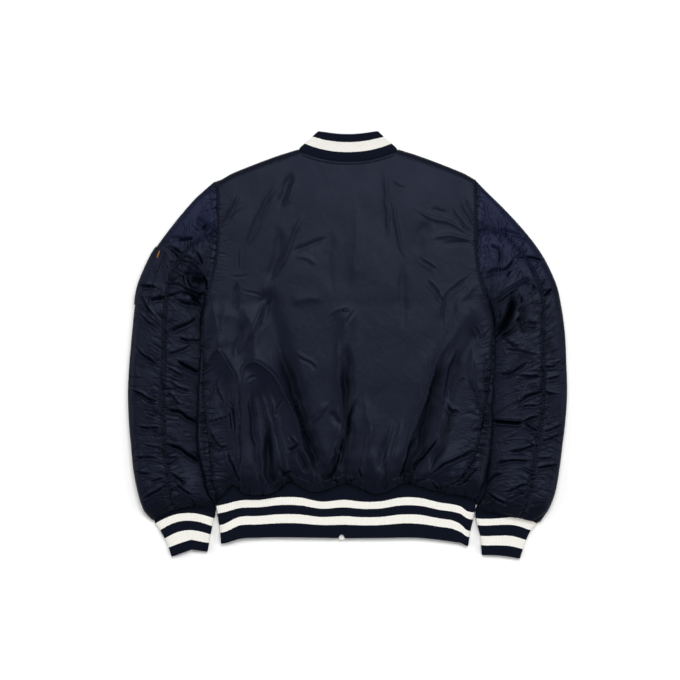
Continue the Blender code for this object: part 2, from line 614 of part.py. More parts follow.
def closed_wall(name, outer, inner, finish, collection):
    """Wall whose columns close into a ring, open at its first and last rows."""
    rows, columns = outer.shape[:2]
    shape = bmesh.new()
    outside = [[shape.verts.new(point * MM) for point in row] for row in outer]
    inside = [[shape.verts.new(point * MM) for point in row] for row in inner]
    for j in range(columns):
        k = (j + 1) % columns
        for i in range(rows - 1):
            shape.faces.new([outside[i][j], outside[i + 1][j], outside[i + 1][k], outside[i][k]])
            shape.faces.new([inside[i][k], inside[i + 1][k], inside[i + 1][j], inside[i][j]])
        for i in (0, rows - 1):
            shape.faces.new([outside[i][j], outside[i][k], inside[i][k], inside[i][j]])
    bmesh.ops.triangulate(shape, faces=shape.faces[:])
    bmesh.ops.recalc_face_normals(shape, faces=shape.faces[:])
    return object_from_bmesh(name, shape, finish, collection)


def make_cuff(side, rows, collection):
    """A flattened knitted tube at the end of a sleeve."""
    col = {name: np.array([getattr(r, name) for r in rows], float)[:, None]
           for name in CuffRow._fields}
    shares = np.array(CUFF_SHARES)
    share = np.concatenate([shares, shares[-2:0:-1]])[None, :]
    on_back = np.broadcast_to(np.arange(share.size) < shares.size, (len(rows), share.size))
    x = col["outer_x"] + (col["inner_x"] - col["outer_x"]) * share
    y = col["outer_y"] + (col["inner_y"] - col["outer_y"]) * share
    y = y + col["bow"] * 4 * share * (1 - share)
    width = np.abs(col["inner_x"] - col["outer_x"])
    distance = np.minimum(share, 1 - share) * width
    towards = np.sign(col["inner_x"] - col["outer_x"]) * np.where(share < 0.5, 1.0, -1.0)
    outer, inner = flat_ring(x, y, CUFF_FOLD, CUFF_LOFT, 0.0, distance, CUFF_RUN, RIB_WALL,
                             on_back, towards)
    closed_wall(f"cuff_{side}", outer, inner, RIB_KNIT, collection)


def make_collar(collection):
    """The standing rib: its back half lies uppermost, its front half under it."""
    drop = np.array(COLLAR_DROPS)[:, None]
    half = NECK_HALF_WIDTH + (COLLAR_TOP_HALF_WIDTH - NECK_HALF_WIDTH) * drop
    back = np.array(COLLAR_SHARES)[None, :]
    left_end = (ZIP_X - FRONT_EDGE - NECK_X) / half
    right_end = (ZIP_X + FRONT_EDGE - NECK_X) / half
    steps = np.array(FRONT_NECK_STEPS[:-1])[None, :]
    left_front = -1 + (left_end + 1) * steps
    right_front = 1 - (1 - right_end) * steps
    share = np.concatenate([left_front, np.broadcast_to(back, (drop.size, back.size)),
                            right_front[:, ::-1]], axis=1)
    columns = np.arange(share.shape[1])
    on_back = (columns >= steps.size) & (columns < steps.size + back.size)
    on_back = np.broadcast_to(on_back, share.shape)
    spread = np.abs(share)
    base_back = BACK_NECK_Y + (NECK_POINT_Y - BACK_NECK_Y) * spread ** 2.2
    base_front = FRONT_NECK_Y + (NECK_POINT_Y - FRONT_NECK_Y) * spread ** 1.7
    top_back = COLLAR_TOP_BACK_Y + (COLLAR_TOP_SIDE_Y - COLLAR_TOP_BACK_Y) * spread ** 2
    top_front = COLLAR_TOP_FRONT_Y + (COLLAR_TOP_SIDE_Y - COLLAR_TOP_FRONT_Y) * spread ** 1.7
    base_y = np.where(on_back, base_back, base_front) + SEAM_GAP
    y = base_y + (np.where(on_back, top_back, top_front) - base_y) * drop
    x = NECK_X + share * half
    base_loft = body_value("loft", SHOULDER_Y)
    loft = base_loft + (COLLAR_TOP_LOFT - base_loft) * drop
    fold = body_value("fold", SHOULDER_Y)
    fold = fold + (COLLAR_TOP_FOLD - fold) * drop
    distance = (1 - spread) * half
    outer, inner = flat_ring(x, y, fold, loft, zip_lift(x), distance, COLLAR_RUN, COLLAR_WALL,
                             on_back, -np.sign(share))
    wall("collar", outer, inner, RIB_KNIT, collection)


# --------------------------------------------------------------------------------- zip
def add_box(name, low, high, finish, collection):
    shape = bmesh.new()
    bmesh.ops.create_cube(shape, size=1.0)
    low, high = np.array(low, float) * MM, np.array(high, float) * MM
    bmesh.ops.scale(shape, vec=high - low, verts=shape.verts)
    bmesh.ops.translate(shape, vec=(low + high) / 2, verts=shape.verts)
    return object_from_bmesh(name, shape, finish, collection)


def add_rod(name, middle, radius, length, finish, collection):
    """Round bar along X."""
    shape = bmesh.new()
    bmesh.ops.create_cone(shape, cap_ends=True, segments=16, radius1=radius * MM,
                          radius2=radius * MM, depth=length * MM)
    item = object_from_bmesh(name, shape, finish, collection)
    item.rotation_euler = (0, np.pi / 2, 0)
    item.location = np.array(middle, float) * MM
    return item


def combine(item, other, operation):
    """Boolean of two solids; the other one stays as a hidden guide."""
    change = item.modifiers.new(other.name, "BOOLEAN")
    change.operation = operation
    change.solver = "EXACT"
    change.object = other
    other.hide_render = True
    other.display_type = "WIRE"


def make_zip(collection, cutters):
    tape_low = ZIP_MID_Z - TAPE_THICKNESS / 2
    tape_high = ZIP_MID_Z + TAPE_THICKNESS / 2
    teeth_low = ZIP_MID_Z - TEETH_HEIGHT / 2
    teeth_high = ZIP_MID_Z + TEETH_HEIGHT / 2
    tape_start = TEETH_WIDTH + 2 * SEAM_GAP
    chain_start = ZIP_BOTTOM_Y + BOX_LENGTH + SEAM_GAP
    chain_end = ZIP_TOP_Y - SLIDER_LENGTH / 2
    for side, way in (("left", -1), ("right", 1)):
        near, far = ZIP_X + way * tape_start, ZIP_X + way * (tape_start + TAPE_WIDTH)
        add_box(f"zip_tape_{side}", (min(near, far), chain_start, tape_low),
                (max(near, far), ZIP_TOP_Y, tape_high), ZIP_TAPE, collection)
        near = ZIP_X + way * SEAM_GAP / 2
        far = near + way * TEETH_WIDTH
        add_box(f"zip_teeth_{side}", (min(near, far), chain_start, teeth_low),
                (max(near, far), chain_end, teeth_high), ZIP_METAL, collection)
    add_box("zip_box", (ZIP_X - BOX_WIDTH / 2, ZIP_BOTTOM_Y, ZIP_MID_Z - BOX_HEIGHT / 2),
            (ZIP_X + BOX_WIDTH / 2, ZIP_BOTTOM_Y + BOX_LENGTH, ZIP_MID_Z + BOX_HEIGHT / 2),
            ZIP_METAL, collection)
    make_slider(collection, cutters, chain_end)


def make_slider(collection, cutters, chain_end):
    """Two plates joined by a post, with lugs and a pin that carry the pull tab."""
    middle_y = ZIP_TOP_Y - SLIDER_LENGTH / 2 + SEAM_GAP
    low_y, high_y = middle_y - SLIDER_LENGTH / 2, middle_y + SLIDER_LENGTH / 2
    under_plate = ZIP_MID_Z - SLIDER_GAP / 2 - SLIDER_PLATE
    top = ZIP_MID_Z + SLIDER_GAP / 2 + SLIDER_PLATE
    half = SLIDER_WIDTH / 2
    slider = add_box("slider", (ZIP_X - half, low_y, under_plate), (ZIP_X + half, high_y, top),
                     ZIP_METAL, collection)
    slot_low, slot_high = ZIP_MID_Z - SLIDER_GAP / 2, ZIP_MID_Z + SLIDER_GAP / 2
    mouth = add_box("slider_mouth", (ZIP_X - half - 1, low_y - 1, slot_low),
                    (ZIP_X + half + 1, chain_end + SEAM_GAP, slot_high), ZIP_METAL, cutters)
    combine(slider, mouth, "DIFFERENCE")
    post_half = TEETH_WIDTH / 2 + SEAM_GAP
    for side, way in (("left", -1), ("right", 1)):
        near, far = ZIP_X + way * post_half, ZIP_X + way * (half + 1)
        channel = add_box(f"slider_channel_{side}", (min(near, far), chain_end, slot_low),
                          (max(near, far), high_y + 1, slot_high), ZIP_METAL, cutters)
        combine(slider, channel, "DIFFERENCE")
    axis_z = under_plate - SEAM_GAP - TAB_EYE_RADIUS
    axis = (ZIP_X, middle_y, axis_z)
    lug_inner = EYE_WIDTH / 2 + SEAM_GAP
    for side, way in (("left", -1), ("right", 1)):
        near, far = ZIP_X + way * lug_inner, ZIP_X + way * (lug_inner + LUG_WIDTH)
        lug = add_box(f"slider_lug_{side}",
                      (min(near, far), middle_y - LUG_LENGTH / 2, axis_z - LUG_DROP),
                      (max(near, far), middle_y + LUG_LENGTH / 2, under_plate + JOIN),
                      ZIP_METAL, cutters)
        combine(slider, lug, "UNION")
    pin = add_rod("slider_pin", axis, PIN_RADIUS, 2 * lug_inner + LUG_WIDTH, ZIP_METAL, cutters)
    combine(slider, pin, "UNION")
    make_pull_tab(collection, cutters, axis)


def make_pull_tab(collection, cutters, axis):
    """Flat tab with an eye round the slider's pin; it hangs from the pin's axis."""
    pivot = bpy.data.objects.new("pull_tab_axis", None)
    pivot.location = np.array(axis, float) * MM
    collection.objects.link(pivot)
    tab = add_rod("pull_tab", (0, 0, 0), TAB_EYE_RADIUS, EYE_WIDTH, ZIP_METAL, collection)
    neck = add_box("pull_tab_neck", (-EYE_WIDTH / 2, -TAB_NECK - JOIN, -TAB_THICKNESS / 2),
                   (EYE_WIDTH / 2, 0, TAB_THICKNESS / 2), ZIP_METAL, cutters)
    blade = add_box("pull_tab_blade", (-TAB_WIDTH / 2, -TAB_LENGTH, -TAB_THICKNESS / 2),
                    (TAB_WIDTH / 2, -TAB_NECK, TAB_THICKNESS / 2), ZIP_METAL, cutters)
    hole = add_rod("pull_tab_hole", (0, 0, 0), TAB_HOLE_RADIUS, EYE_WIDTH + 2, ZIP_METAL, cutters)
    for piece in (tab, neck, blade, hole):
        piece.parent = pivot
    combine(tab, neck, "UNION")
    combine(tab, blade, "UNION")
    combine(tab, hole, "DIFFERENCE")


def make_pocket_pull(collection):
    """The orange tape end that shows at the pocket's upper corner."""
    pull = add_box("pocket_pull", (-PULL_WIDTH / 2, -PULL_LENGTH / 2, 0),
                   (PULL_WIDTH / 2, PULL_LENGTH / 2, PULL_THICKNESS), ORANGE, collection)
    height = LEFT_SLEEVE[int(POCKET_START) + 1].loft + POCKET_GAP + POCKET_THICKNESS + SEAM_GAP
    pull.location = (PULL_MIDDLE[0] * MM, PULL_MIDDLE[1] * MM, height * MM)
    pull.rotation_euler = (0, 0, np.radians(PULL_TURN))


def main():
    clear_scene()
    jacket = new_collection("bomber_jacket")
    cutters = new_collection("cutters")
    make_body(jacket)
    make_sleeve("left", LEFT_SLEEVE, LEFT_SLEEVE_FOLDS, jacket)
    make_sleeve("right", RIGHT_SLEEVE, RIGHT_SLEEVE_FOLDS, jacket)
    make_sleeve_pocket(jacket)
    make_pocket_pull(jacket)
    make_hem_rib(jacket)
    make_cuff("left", LEFT_CUFF, jacket)
    make_cuff("right", RIGHT_CUFF, jacket)
    make_collar(jacket)
    make_zip(jacket, cutters)


main()
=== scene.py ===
"""Looks of a bomber jacket laid flat with its back upwards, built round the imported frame.

The jacket is satin nylon with striped knitted ribs. X runs across it, +Y towards the
collar and +Z up from the surface. Tables and formulas are in millimetres, meshes in
metres; left and right are the viewer's, looking down on the back. Every cloth panel is
a thin closed shell whose outer face is a grid of points worked out from the jacket's
sizes, with its creases added along the face's normals.
"""

import logging
from dataclasses import dataclass, field
from enum import Enum
from typing import NamedTuple, Optional, Sequence

import bmesh
import bpy
import numpy as np
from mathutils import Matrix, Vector
from numpy.typing import NDArray


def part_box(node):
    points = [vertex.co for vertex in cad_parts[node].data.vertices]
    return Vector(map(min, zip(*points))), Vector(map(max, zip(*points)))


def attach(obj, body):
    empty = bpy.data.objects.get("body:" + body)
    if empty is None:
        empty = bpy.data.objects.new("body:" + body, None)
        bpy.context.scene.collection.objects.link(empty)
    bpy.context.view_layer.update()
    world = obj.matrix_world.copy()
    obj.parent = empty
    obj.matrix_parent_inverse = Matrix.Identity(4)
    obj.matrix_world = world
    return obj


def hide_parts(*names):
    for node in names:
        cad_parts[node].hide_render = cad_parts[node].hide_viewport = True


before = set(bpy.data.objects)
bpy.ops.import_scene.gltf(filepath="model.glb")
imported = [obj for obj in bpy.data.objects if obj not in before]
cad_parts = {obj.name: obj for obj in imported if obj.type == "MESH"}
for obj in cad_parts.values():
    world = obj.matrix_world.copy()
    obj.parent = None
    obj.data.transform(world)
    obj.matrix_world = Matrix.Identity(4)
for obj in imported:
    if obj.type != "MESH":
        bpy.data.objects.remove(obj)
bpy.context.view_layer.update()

Array = NDArray[np.float64]
Point = tuple[float, float]
Place = tuple[float, float, float]
Mesh, Piece, Material = bpy.types.Mesh, bpy.types.Object, bpy.types.Material
Tree, Node, Socket = bpy.types.NodeTree, bpy.types.Node, bpy.types.NodeSocket
LOG = logging.getLogger("bomber_jacket")

MM = 0.001
JACKET = "jacket"
SURFACE = "floor"

# ---- sizes of the shells
CLOTH, RIB, COLLAR_RIB = 1.5, 2.2, 3.2       # visible thickness of nylon, rib and collar
WALE = 3.0                                   # width of one rib of the knit
CUFF_PEAK = 0.556                            # where the left cuff's mouth is pinched up
STITCH_PITCH = 3.3                           # from one stitch to the next
BODY_DRIFT, SLEEVE_DRIFT = 2.4, 2.2          # how far creases wander from their paths
BODY_LOOSE, SLEEVE_LOOSE = 0.03, 0.42        # share of finest creases far from seams

# ---- driving sizes, shared with the frame
SHOULDER_Y, UNDERARM_Y, HEM_Y = 276.0, 68.0, -273.0
HEM_MIDDLE_RISE, HEM_HALF_WIDTH = 17.0, 224.0
NECK_X, NECK_HALF_WIDTH, NECK_POINT_Y = 1.0, 86.0, 331.0
BACK_NECK_Y, FRONT_NECK_Y = 311.5, 236.0
SIDE_RUN_TOP, SIDE_RUN_UNDER, SHOULDER_RUN = 22.0, 36.0, 16.0
SLEEVE_RUN_OUTER, SLEEVE_RUN_INNER, SLEEVE_RUN_FOOT = 15.0, 60.0, 8.0
HEM_RIB_LOFT, HEM_RIB_FOLD, HEM_RIB_RUN = 14.0, 7.0, 9.0
CUFF_LOFT, CUFF_FOLD, CUFF_RUN = 12.0, 6.0, 8.0
COLLAR_RUN, COLLAR_TOP_HALF_WIDTH = 13.0, 50.5
COLLAR_TOP_SIDE_Y, COLLAR_TOP_BACK_Y, COLLAR_TOP_FRONT_Y = 363.5, 357.5, 292.0
COLLAR_TOP_LOFT, COLLAR_TOP_FOLD = 12.0, 6.0
ZIP_X, FRONT_EDGE, ZIP_LIFT, ZIP_LIFT_WIDTH = -10.0, 6.5, 3.6, 16.0
ZIP_MID_Z = 7.3
# A tooth's cross-sections: x off the zip's middle, half width and half height.
ZIP_TOOTH = ((-0.7, 0.465, 1.15), (0.9, 0.62, 1.15), (0.9, 0.85, 1.0), (3.4, 0.85, 1.0))


class BodyRow(NamedTuple):
    """One row of the body: its edges, how far in the side seams lie, and its heights."""

    y: float
    left: float
    right: float
    left_seam: float
    right_seam: float
    loft: float
    fold: float


BODY_ROWS = tuple(BodyRow(*row) for row in (
    (276, -227, 217, 0, 0, 17, 9),
    (262, -223, 219, 0, 0, 17, 9),
    (230, -222, 220, 0, 0, 18, 9),
    (182, -221.5, 219, 0, 0, 19, 9),
    (140, -226, 222, 0, 0, 20, 9),
    (104, -234, 229, 0, 0, 20.6, 8.5),
    (82, -240, 236, 0, 0, 21, 8),
    (68, -244, 243, 0, 0, 21, 8),
    (52, -248, 247.5, 1, 1, 21.3, 10),
    (35, -250, 250.5, 2, 2, 21.6, 13),
    (5, -250, 250.5, 3, 4, 22, 16),
    (-30, -250, 250.5, 5, 6, 23, 16),
    (-85, -253.5, 247, 8, 10, 24, 16),
    (-130, -254.5, 245, 15, 16, 25, 16),
    (-175, -254, 243.5, 20, 23, 27, 16),
    (-215, -247, 238, 16, 34, 31, 16),
    (-243, -240.5, 235, 12, 50, 33, 15),
    (-260, -233, 229.5, 9, 58, 29, 12),
    (-273, -225.5, 221, 7, 60, 15, 7.5),
))

# Outline of a shoulder: distance across from the neck's middle, and y.
SHOULDER_LINE = ((86, 331), (121, 320), (147, 310.5), (174, 300), (199, 289.5),
                 (217, 279.5), (227, 276))

# How far the hem seam is lifted by the cloth that blouses over it: x, lift.
HEM_WAVES = ((-232, 0), (-222, 7), (-211, 15), (-202, 22), (-193, 27), (-185, 20), (-178, 12),
             (-165, 6), (-150, 4), (-128, 5), (-112, 14), (-99, 23), (-85, 17), (-62, 5),
             (-33, 9), (-18, 15), (-4, 19), (12, 15), (25, 9), (47, 1), (72, 8), (88, 17),
             (103, 21), (118, 18), (130, 15), (146, 11), (161, 9), (190, 8), (215, 6), (232, 0))
HEM_INSIDE = (-225.2, 220.7)                 # just within the panels' side folds at the hem
# The rib's left and right ends: share of its depth, x.
HEM_RIB_LEFT = ((0, -225.5), (0.33, -221.3), (0.66, -217.4), (1, -215.5))
HEM_RIB_RIGHT = ((0, 220.5), (0.33, 215.5), (0.66, 209.6), (1, 205.5))
# The rib's lower edge: x, y.
RIB_EDGE = ((-232, -342), (-208, -338), (-183, -330.5), (-149, -328.5), (-60, -328.5),
            (0, -329.5), (60, -329), (123, -329), (157, -332.5), (183, -336),
            (193, -337.5), (202, -342.5), (210, -344), (232, -344))
# Heights of its lower fold, its four stripe edges and its sewn edge over the lower edge.
HEM_STRIPES = (8, 23.4, 37.5, 52.7, 65.3, 78)
# How far the hem's waves still bend those stripes: x, lift of the upper white stripe.
RIB_WAVES = ((-232, 0), (-208, 1.5), (-183, 0), (-149, -1), (-115, 3), (-81, 3), (-47, -3.5),
             (-1, 0), (21, -3), (55, -3), (89, 3), (123, 3), (157, -1.5), (183, -2), (205, -6),
             (232, -8))


class Station(NamedTuple):
    """A line across a sleeve, from its outer fold to its inner one, and its heights.

    The seam is a share of the way across. A bow bends the line, and a lift raises its
    lower face off the surface.
    """

    outer_x: float
    outer_y: float
    inner_x: float
    inner_y: float
    loft: float
    foot: float
    seam: float
    bow: float = 0.0
    lift: float = 0.0


LEFT_SLEEVE = tuple(Station(*row) for row in (
    (-227, 276, -244, 68, 17, 8, 0.42),
    (-257, 249, -248.4, 59, 19, 5.5, 0.38),
    (-284, 218, -250.4, 50, 20, 4.2, 0.335, 0, 0.5),
    (-308.5, 187, -251.4, 40, 20, 3.6, 0.333, 0, 2.3),
    (-329.5, 157, -250.4, 28, 20, 3.3, 0.347, 0, 2.3),
    (-345, 126, -247.6, 15, 20, 3.2, 0.375, 0, 2.3),
    (-356.5, 95, -246, 0, 20, 3.2, 0.41, 0, 2.3),
    (-362.5, 55, -245, -18, 20, 3.2, 0.42, 0, 2.3),
    (-366.5, 14, -245, -43, 20, 3.2, 0.435, 0, 0.6),
    (-370.5, -30, -246.5, -74, 20, 3.2, 0.45),
    (-373, -80, -248.5, -110, 21, 3.2, 0.45),
    (-371.5, -130, -249.5, -149, 21, 3.2, 0.46),
    (-368, -171, -247.5, -183, 22, 3.2, 0.46),
    (-364, -211, -242.5, -214, 23, 3.2, 0.46, 2),
    (-356.5, -250, -236.8, -243, 25, 4, 0.43, 5),
    (-347, -280, -234, -264, 23, 5.5, 0.40, 9),
    (-331, -300, -224.8, -282, 12, 6, 0.37, 12),
))
RIGHT_SLEEVE = tuple(Station(*row) for row in (
    (217, 276, 243, 68, 17, 8, 0.45),
    (246.5, 249, 248, 59, 19, 5.5, 0.30),
    (277, 218, 250.6, 50, 20, 4.2, 0.22),
    (304.5, 187, 252, 40, 20, 3.6, 0.20),
    (327, 157, 251.4, 28, 20, 3.3, 0.20),
    (344, 126, 248.6, 15, 20, 3.2, 0.20),
    (356.5, 95, 246, 0, 20, 3.2, 0.22),
    (364.5, 55, 244.4, -18, 20, 3.2, 0.26),
    (369.5, 14, 243, -43, 20, 3.2, 0.29),
    (371.5, -30, 240.4, -74, 20, 3.2, 0.29),
    (373, -80, 238.6, -110, 21, 3.2, 0.30),
    (370, -130, 237.4, -149, 21, 3.2, 0.31),
    (365, -171, 236.4, -183, 22, 3.2, 0.32),
    (360, -211, 234.4, -214, 23, 3.2, 0.35),
    (353, -250, 232, -243, 25, 4, 0.36, 1),
    (341.5, -280, 232.6, -264, 23, 5.5, 0.34, 1),
    (326, -303, 218.2, -283, 12, 6, 0.30, 1),
))


class CuffRow(NamedTuple):
    """A line across a cuff, from its outer fold to its inner one."""

    outer_x: float
    outer_y: float
    inner_x: float
    inner_y: float
    bow: float


LEFT_CUFF = tuple(CuffRow(*row) for row in (
    (-330.5, -300.6, -222.8, -284, 12),
    (-319, -317, -228.6, -305.5, 13),
    (-307.5, -338, -233.5, -328, 10),
    (-299.5, -361.5, -237.5, -353, 8),
))
RIGHT_CUFF = tuple(CuffRow(*row) for row in (
    (325.5, -303.6, 216.2, -284.5, 1),
    (310, -320, 218.8, -300, 2),
    (301.5, -341, 225.5, -327, 2.5),
    (294, -365, 228.5, -358.5, 2.5),
))


# ---- creases, listed one by one
class Fold(Enum):
    """Cross-section of a fold: a soft ridge, a soft trough, or a sharp one between lips."""

    RIDGE = "ridge"
    VALLEY = "valley"
    CREASE = "crease"


@dataclass(frozen=True)
class Crease:
    """A fold of the cloth along a path, with its height and half width in millimetres."""

    kind: Fold
    height: float
    width: float
    path: tuple[Point, ...]


def drawn(table: str) -> tuple[Crease, ...]:
    """Read folds from lines of text.

    Args:
        table: On each line a fold's kind, height and half width, and its path's x,y pairs;
            an indented line goes on with the one before.

    Returns:
        The folds, in the same order.
    """
    folds = []
    for line in table.replace("\n ", " ").strip().splitlines():
        kind, height, width, *path = line.split()
        points = tuple(tuple(map(float, point.split(","))) for point in path)
        folds.append(Crease(Fold(kind), float(height), float(width), points))
    return tuple(folds)


# The back's largest folds, most of which its solid has too.
BACK_FOLDS = drawn("""
ridge 4 17  -217,-10 -184,-64 -186,-240
ridge 4.5 17  -154,-26 -118,-57 -88,-106 -66,-160 -46,-236
valley 4 16  -137,72 -96,-62 -62,-165 -34,-236
valley 3.5 20  -150,-92 -136,-160 -132,-232
ridge 3 15  0,44 -8,-66 -4,-140 -22,-236
ridge 4.5 17  200,50 154,-32 132,-98 88,-181 58,-236
valley 4.5 16  212,10 176,-60 152,-120 112,-232
ridge 3.5 13  214,-172 150,-206 116,-238
""")
BACK_CREASES = drawn("""
crease 1.6 3.5  -186,261 -198,235 -213,208 -224,191
ridge 1.3 5  -178,257 -190,228 -203,210
crease 0.9 3.5  -171,235 -193,220 -208,203
ridge 1.9 6  -113,283 -139,240 -159,198 -179,157
ridge 1.3 4.5  -120,252 -139,220 -157,184 -171,164
valley 1.1 4  -125,257 -142,225 -156,198
valley 1.9 9  -93,295 -106,259 -118,225
ridge 1.3 6  -86,283 -98,249 -106,227
valley 2.2 12  -132,203 -116,181 -122,140 -142,92
ridge 2 7  -71,230 -86,198 -101,162 -122,111
ridge 1.4 4  -99,164 -110,137 -122,111
valley 1.5 6  -98,155 -67,167 -33,181
ridge 1.1 6  -93,148 -71,147 -48,135
crease 0.9 3.5  -184,165 -186,143 -184,123
crease 0.9 3.5  -203,116 -183,114 -161,116
valley 2.4 6  -188,106 -190,82 -188,53
crease 1 3.5  -183,94 -166,89 -144,79
ridge 2.2 5.5  -133,86 -149,55 -161,24 -174,-6
valley 2 7  -125,82 -139,53 -150,21
ridge 1.6 12  -237,92 -227,55 -222,16 -220,-13
ridge 1.5 15  -98,67 -67,79 -40,72
crease 1.8 4.5  -35,40 -18,53 -1,58 9,53
crease 1.2 4  16,62 4,48 -3,29
valley 1.7 7  20,-83 8,-115 3,-149 -1,-188
ridge 1.7 20  28,-78 38,-146 43,-197 48,-251
ridge 1.4 5  96,-118 81,-164 71,-205 62,-264
ridge 3.4 5  -242,-67 -235,-28 -218,-11 -200,-39 -188,-62 -184,-103 -184,-163 -183,-214 -182,-264
crease 1.4 3.5  -193,-83 -193,-120 -191,-166
ridge 2.8 6  -181,-101 -181,-54 -173,-35 -159,-28 -144,-35 -123,-56 -105,-86 -88,-124 -77,-164
    -60,-210 -48,-264
crease 1.2 4  -173,-64 -162,-57 -152,-56
ridge 1.3 8  -154,-56 -142,-95 -128,-146 -115,-203 -107,-264
valley 1.2 6  -167,-81 -159,-129 -154,-180
crease 2 3.5  -241,-135 -220,-129 -203,-122 -208,-110
crease 2 3.5  -234,-141 -225,-163 -215,-173 -195,-169
crease 2.4 4  -208,-171 -198,-198 -183,-236 -176,-264
valley 1.6 5  -224,-71 -217,-98 -208,-127
crease 1.2 3.5  -239,-107 -232,-93 -225,-79
ridge 0.7 5  -89,-13 -69,-25 -47,-40
valley 0.6 4  -88,-22 -67,-32 -50,-45
ridge 1.1 4  -64,-129 -52,-112 -37,-95
ridge 1.8 8  -55,-180 -47,-203 -37,-229 -29,-264
ridge 2.6 15  161,-227 188,-219 212,-207
ridge 2.6 6  212,4 213,-61 224,-93 227,-124 220,-176
valley 2 5  232,-10 235,-61 237,-105
crease 1.6 4  212,35 220,19 225,4
crease 1.6 4  247,28 235,16 225,4
ridge 1.7 8  64,303 67,245 69,176
ridge 1.5 6  72,274 84,203 94,155 113,143
ridge 1.7 6  106,235 144,216 181,203 215,179
valley 1 5  139,232 157,225 171,223
crease 1.2 3.5  174,237 193,206 217,182
crease 1 3.5  186,252 201,220 217,189
crease 0.9 3  195,256 207,228 217,201
ridge 1.6 6  137,179 161,184 181,184 215,176
valley 1.2 5  157,171 184,172 217,172
valley 1.4 16  137,211 123,184 118,150
crease 1.4 4  118,147 135,137 154,121
crease 1.8 5  218,125 191,103 173,87 162,65 159,23
ridge 1.7 10  225,106 196,80 178,45
crease 1.5 4  130,113 150,91 166,67
crease 1.3 4  74,281 86,267 103,262
valley 1.5 11  93,143 94,84 96,21
ridge 1.3 16  13,254 16,177 8,89
valley 1.2 12  -25,203 -33,140 -26,82
valley 3.6 9  -137,-120 -134,-180 -128,-228 -125,-264
valley 2.6 7  -163,-70 -160,-140 -150,-205 -145,-264
ridge 2.6 5  -140,-60 -122,-120 -112,-170 -104,-205 -96,-264
ridge 2.2 5  -204,-30 -190,-80 -188,-150 -186,-215 -185,-264
ridge 2 5  44,-130 34,-180 24,-226 19,-264
valley 2.2 8  66,-150 60,-196 66,-244 68,-264
ridge 2 6  76,-120 68,-180 52,-238 48,-264
valley 2.6 11  -1,7 -3,-35 -3,-78 -3,-120
ridge 3.4 26  -204,76 -212,30 -217,-16
ridge 3.2 26  -178,70 -160,24 -154,-26
crease 1.8 4  -100,-156 -88,-168 -78,-172
valley 5 13  -125,16 -113,-10 -99,-52 -88,-86 -77,-120 -65,-163 -54,-192 -38,-227 -28,-265
crease 2.2 4  -98,-69 -86,-103 -76,-137 -65,-171 -57,-193
ridge 1.8 5  -18,16 -14,-27 -13,-69 -9,-112
valley 4.4 12  4,11 1,-27 -1,-69 -3,-103 -1,-146 -3,-188 -6,-256
crease 2.6 4.5  14,-91 8,-112 3,-137 -1,-163
valley 3.8 7  -6,-141 -14,-171 -23,-200 -33,-231 -38,-265
crease 2.8 3.5  -6,-146 -11,-171 -16,-197 -28,-217 -33,-234
crease 2.4 3.5  -33,-231 -26,-237 -4,-237 21,-232
crease 2.6 3.5  16,-207 21,-220 26,-236
ridge 1.8 4  -16,-158 -25,-188 -33,-214
ridge 3.2 6  178,19 162,-6 150,-30 142,-61 132,-95 118,-129 106,-163 96,-197 84,-231 72,-265
valley 4.8 12  183,16 167,-10 156,-35 149,-69 142,-103 133,-137 125,-171 110,-205 98,-234 89,-265
valley 3.6 6  123,-151 111,-171 105,-193 98,-217 93,-248
ridge 2.6 4.5  193,16 178,-18 167,-52 162,-86 157,-120 152,-154
crease 3.4 3.5  159,-151 147,-168 130,-188 116,-205 110,-222 106,-234
valley 3.8 8  174,-103 171,-129 164,-154 157,-175 144,-197 137,-222
crease 2.6 4  167,-100 176,-115 183,-113 191,-120
crease 2.8 3.5  106,-234 120,-236 137,-236 150,-248 167,-251
crease 3 4  224,-178 200,-186 174,-198 154,-210 137,-226
crease 2.2 3.5  230,-202 213,-217 195,-237 174,-249
valley 2.2 8  188,-6 184,-35 174,-69 174,-103
crease 1.4 3.5  183,-67 193,-61 203,-56
valley 3.4 7  -135,-137 -135,-171 -137,-200 -132,-231 -128,-265
crease 2.4 3.5  -113,-205 -110,-222 -98,-231 -81,-248 -60,-251
valley 4.2 6  -118,-207 -108,-220 -93,-214
crease 2.6 3.5  -101,-183 -88,-175 -79,-168
valley 3.6 6  -84,-176 -79,-197 -67,-219
ridge 2.2 4  -76,-171 -69,-193 -60,-210
crease 1.6 3.5  -108,-91 -118,-108 -123,-125
crease 1.8 3  -196,-69 -198,-112 -195,-163
valley 1.6 8  -171,38 -184,7 -193,-30
ridge 1.4 6  -159,36 -173,4 -183,-23
crease 1.4 3.5  -213,-47 -222,-69 -230,-95
crease 1.6 3.5  -224,-57 -217,-86 -207,-112
ridge 1.6 5  -60,-137 -43,-112 -30,-95
valley 1.8 7  -30,-112 -20,-129 -9,-139
""")
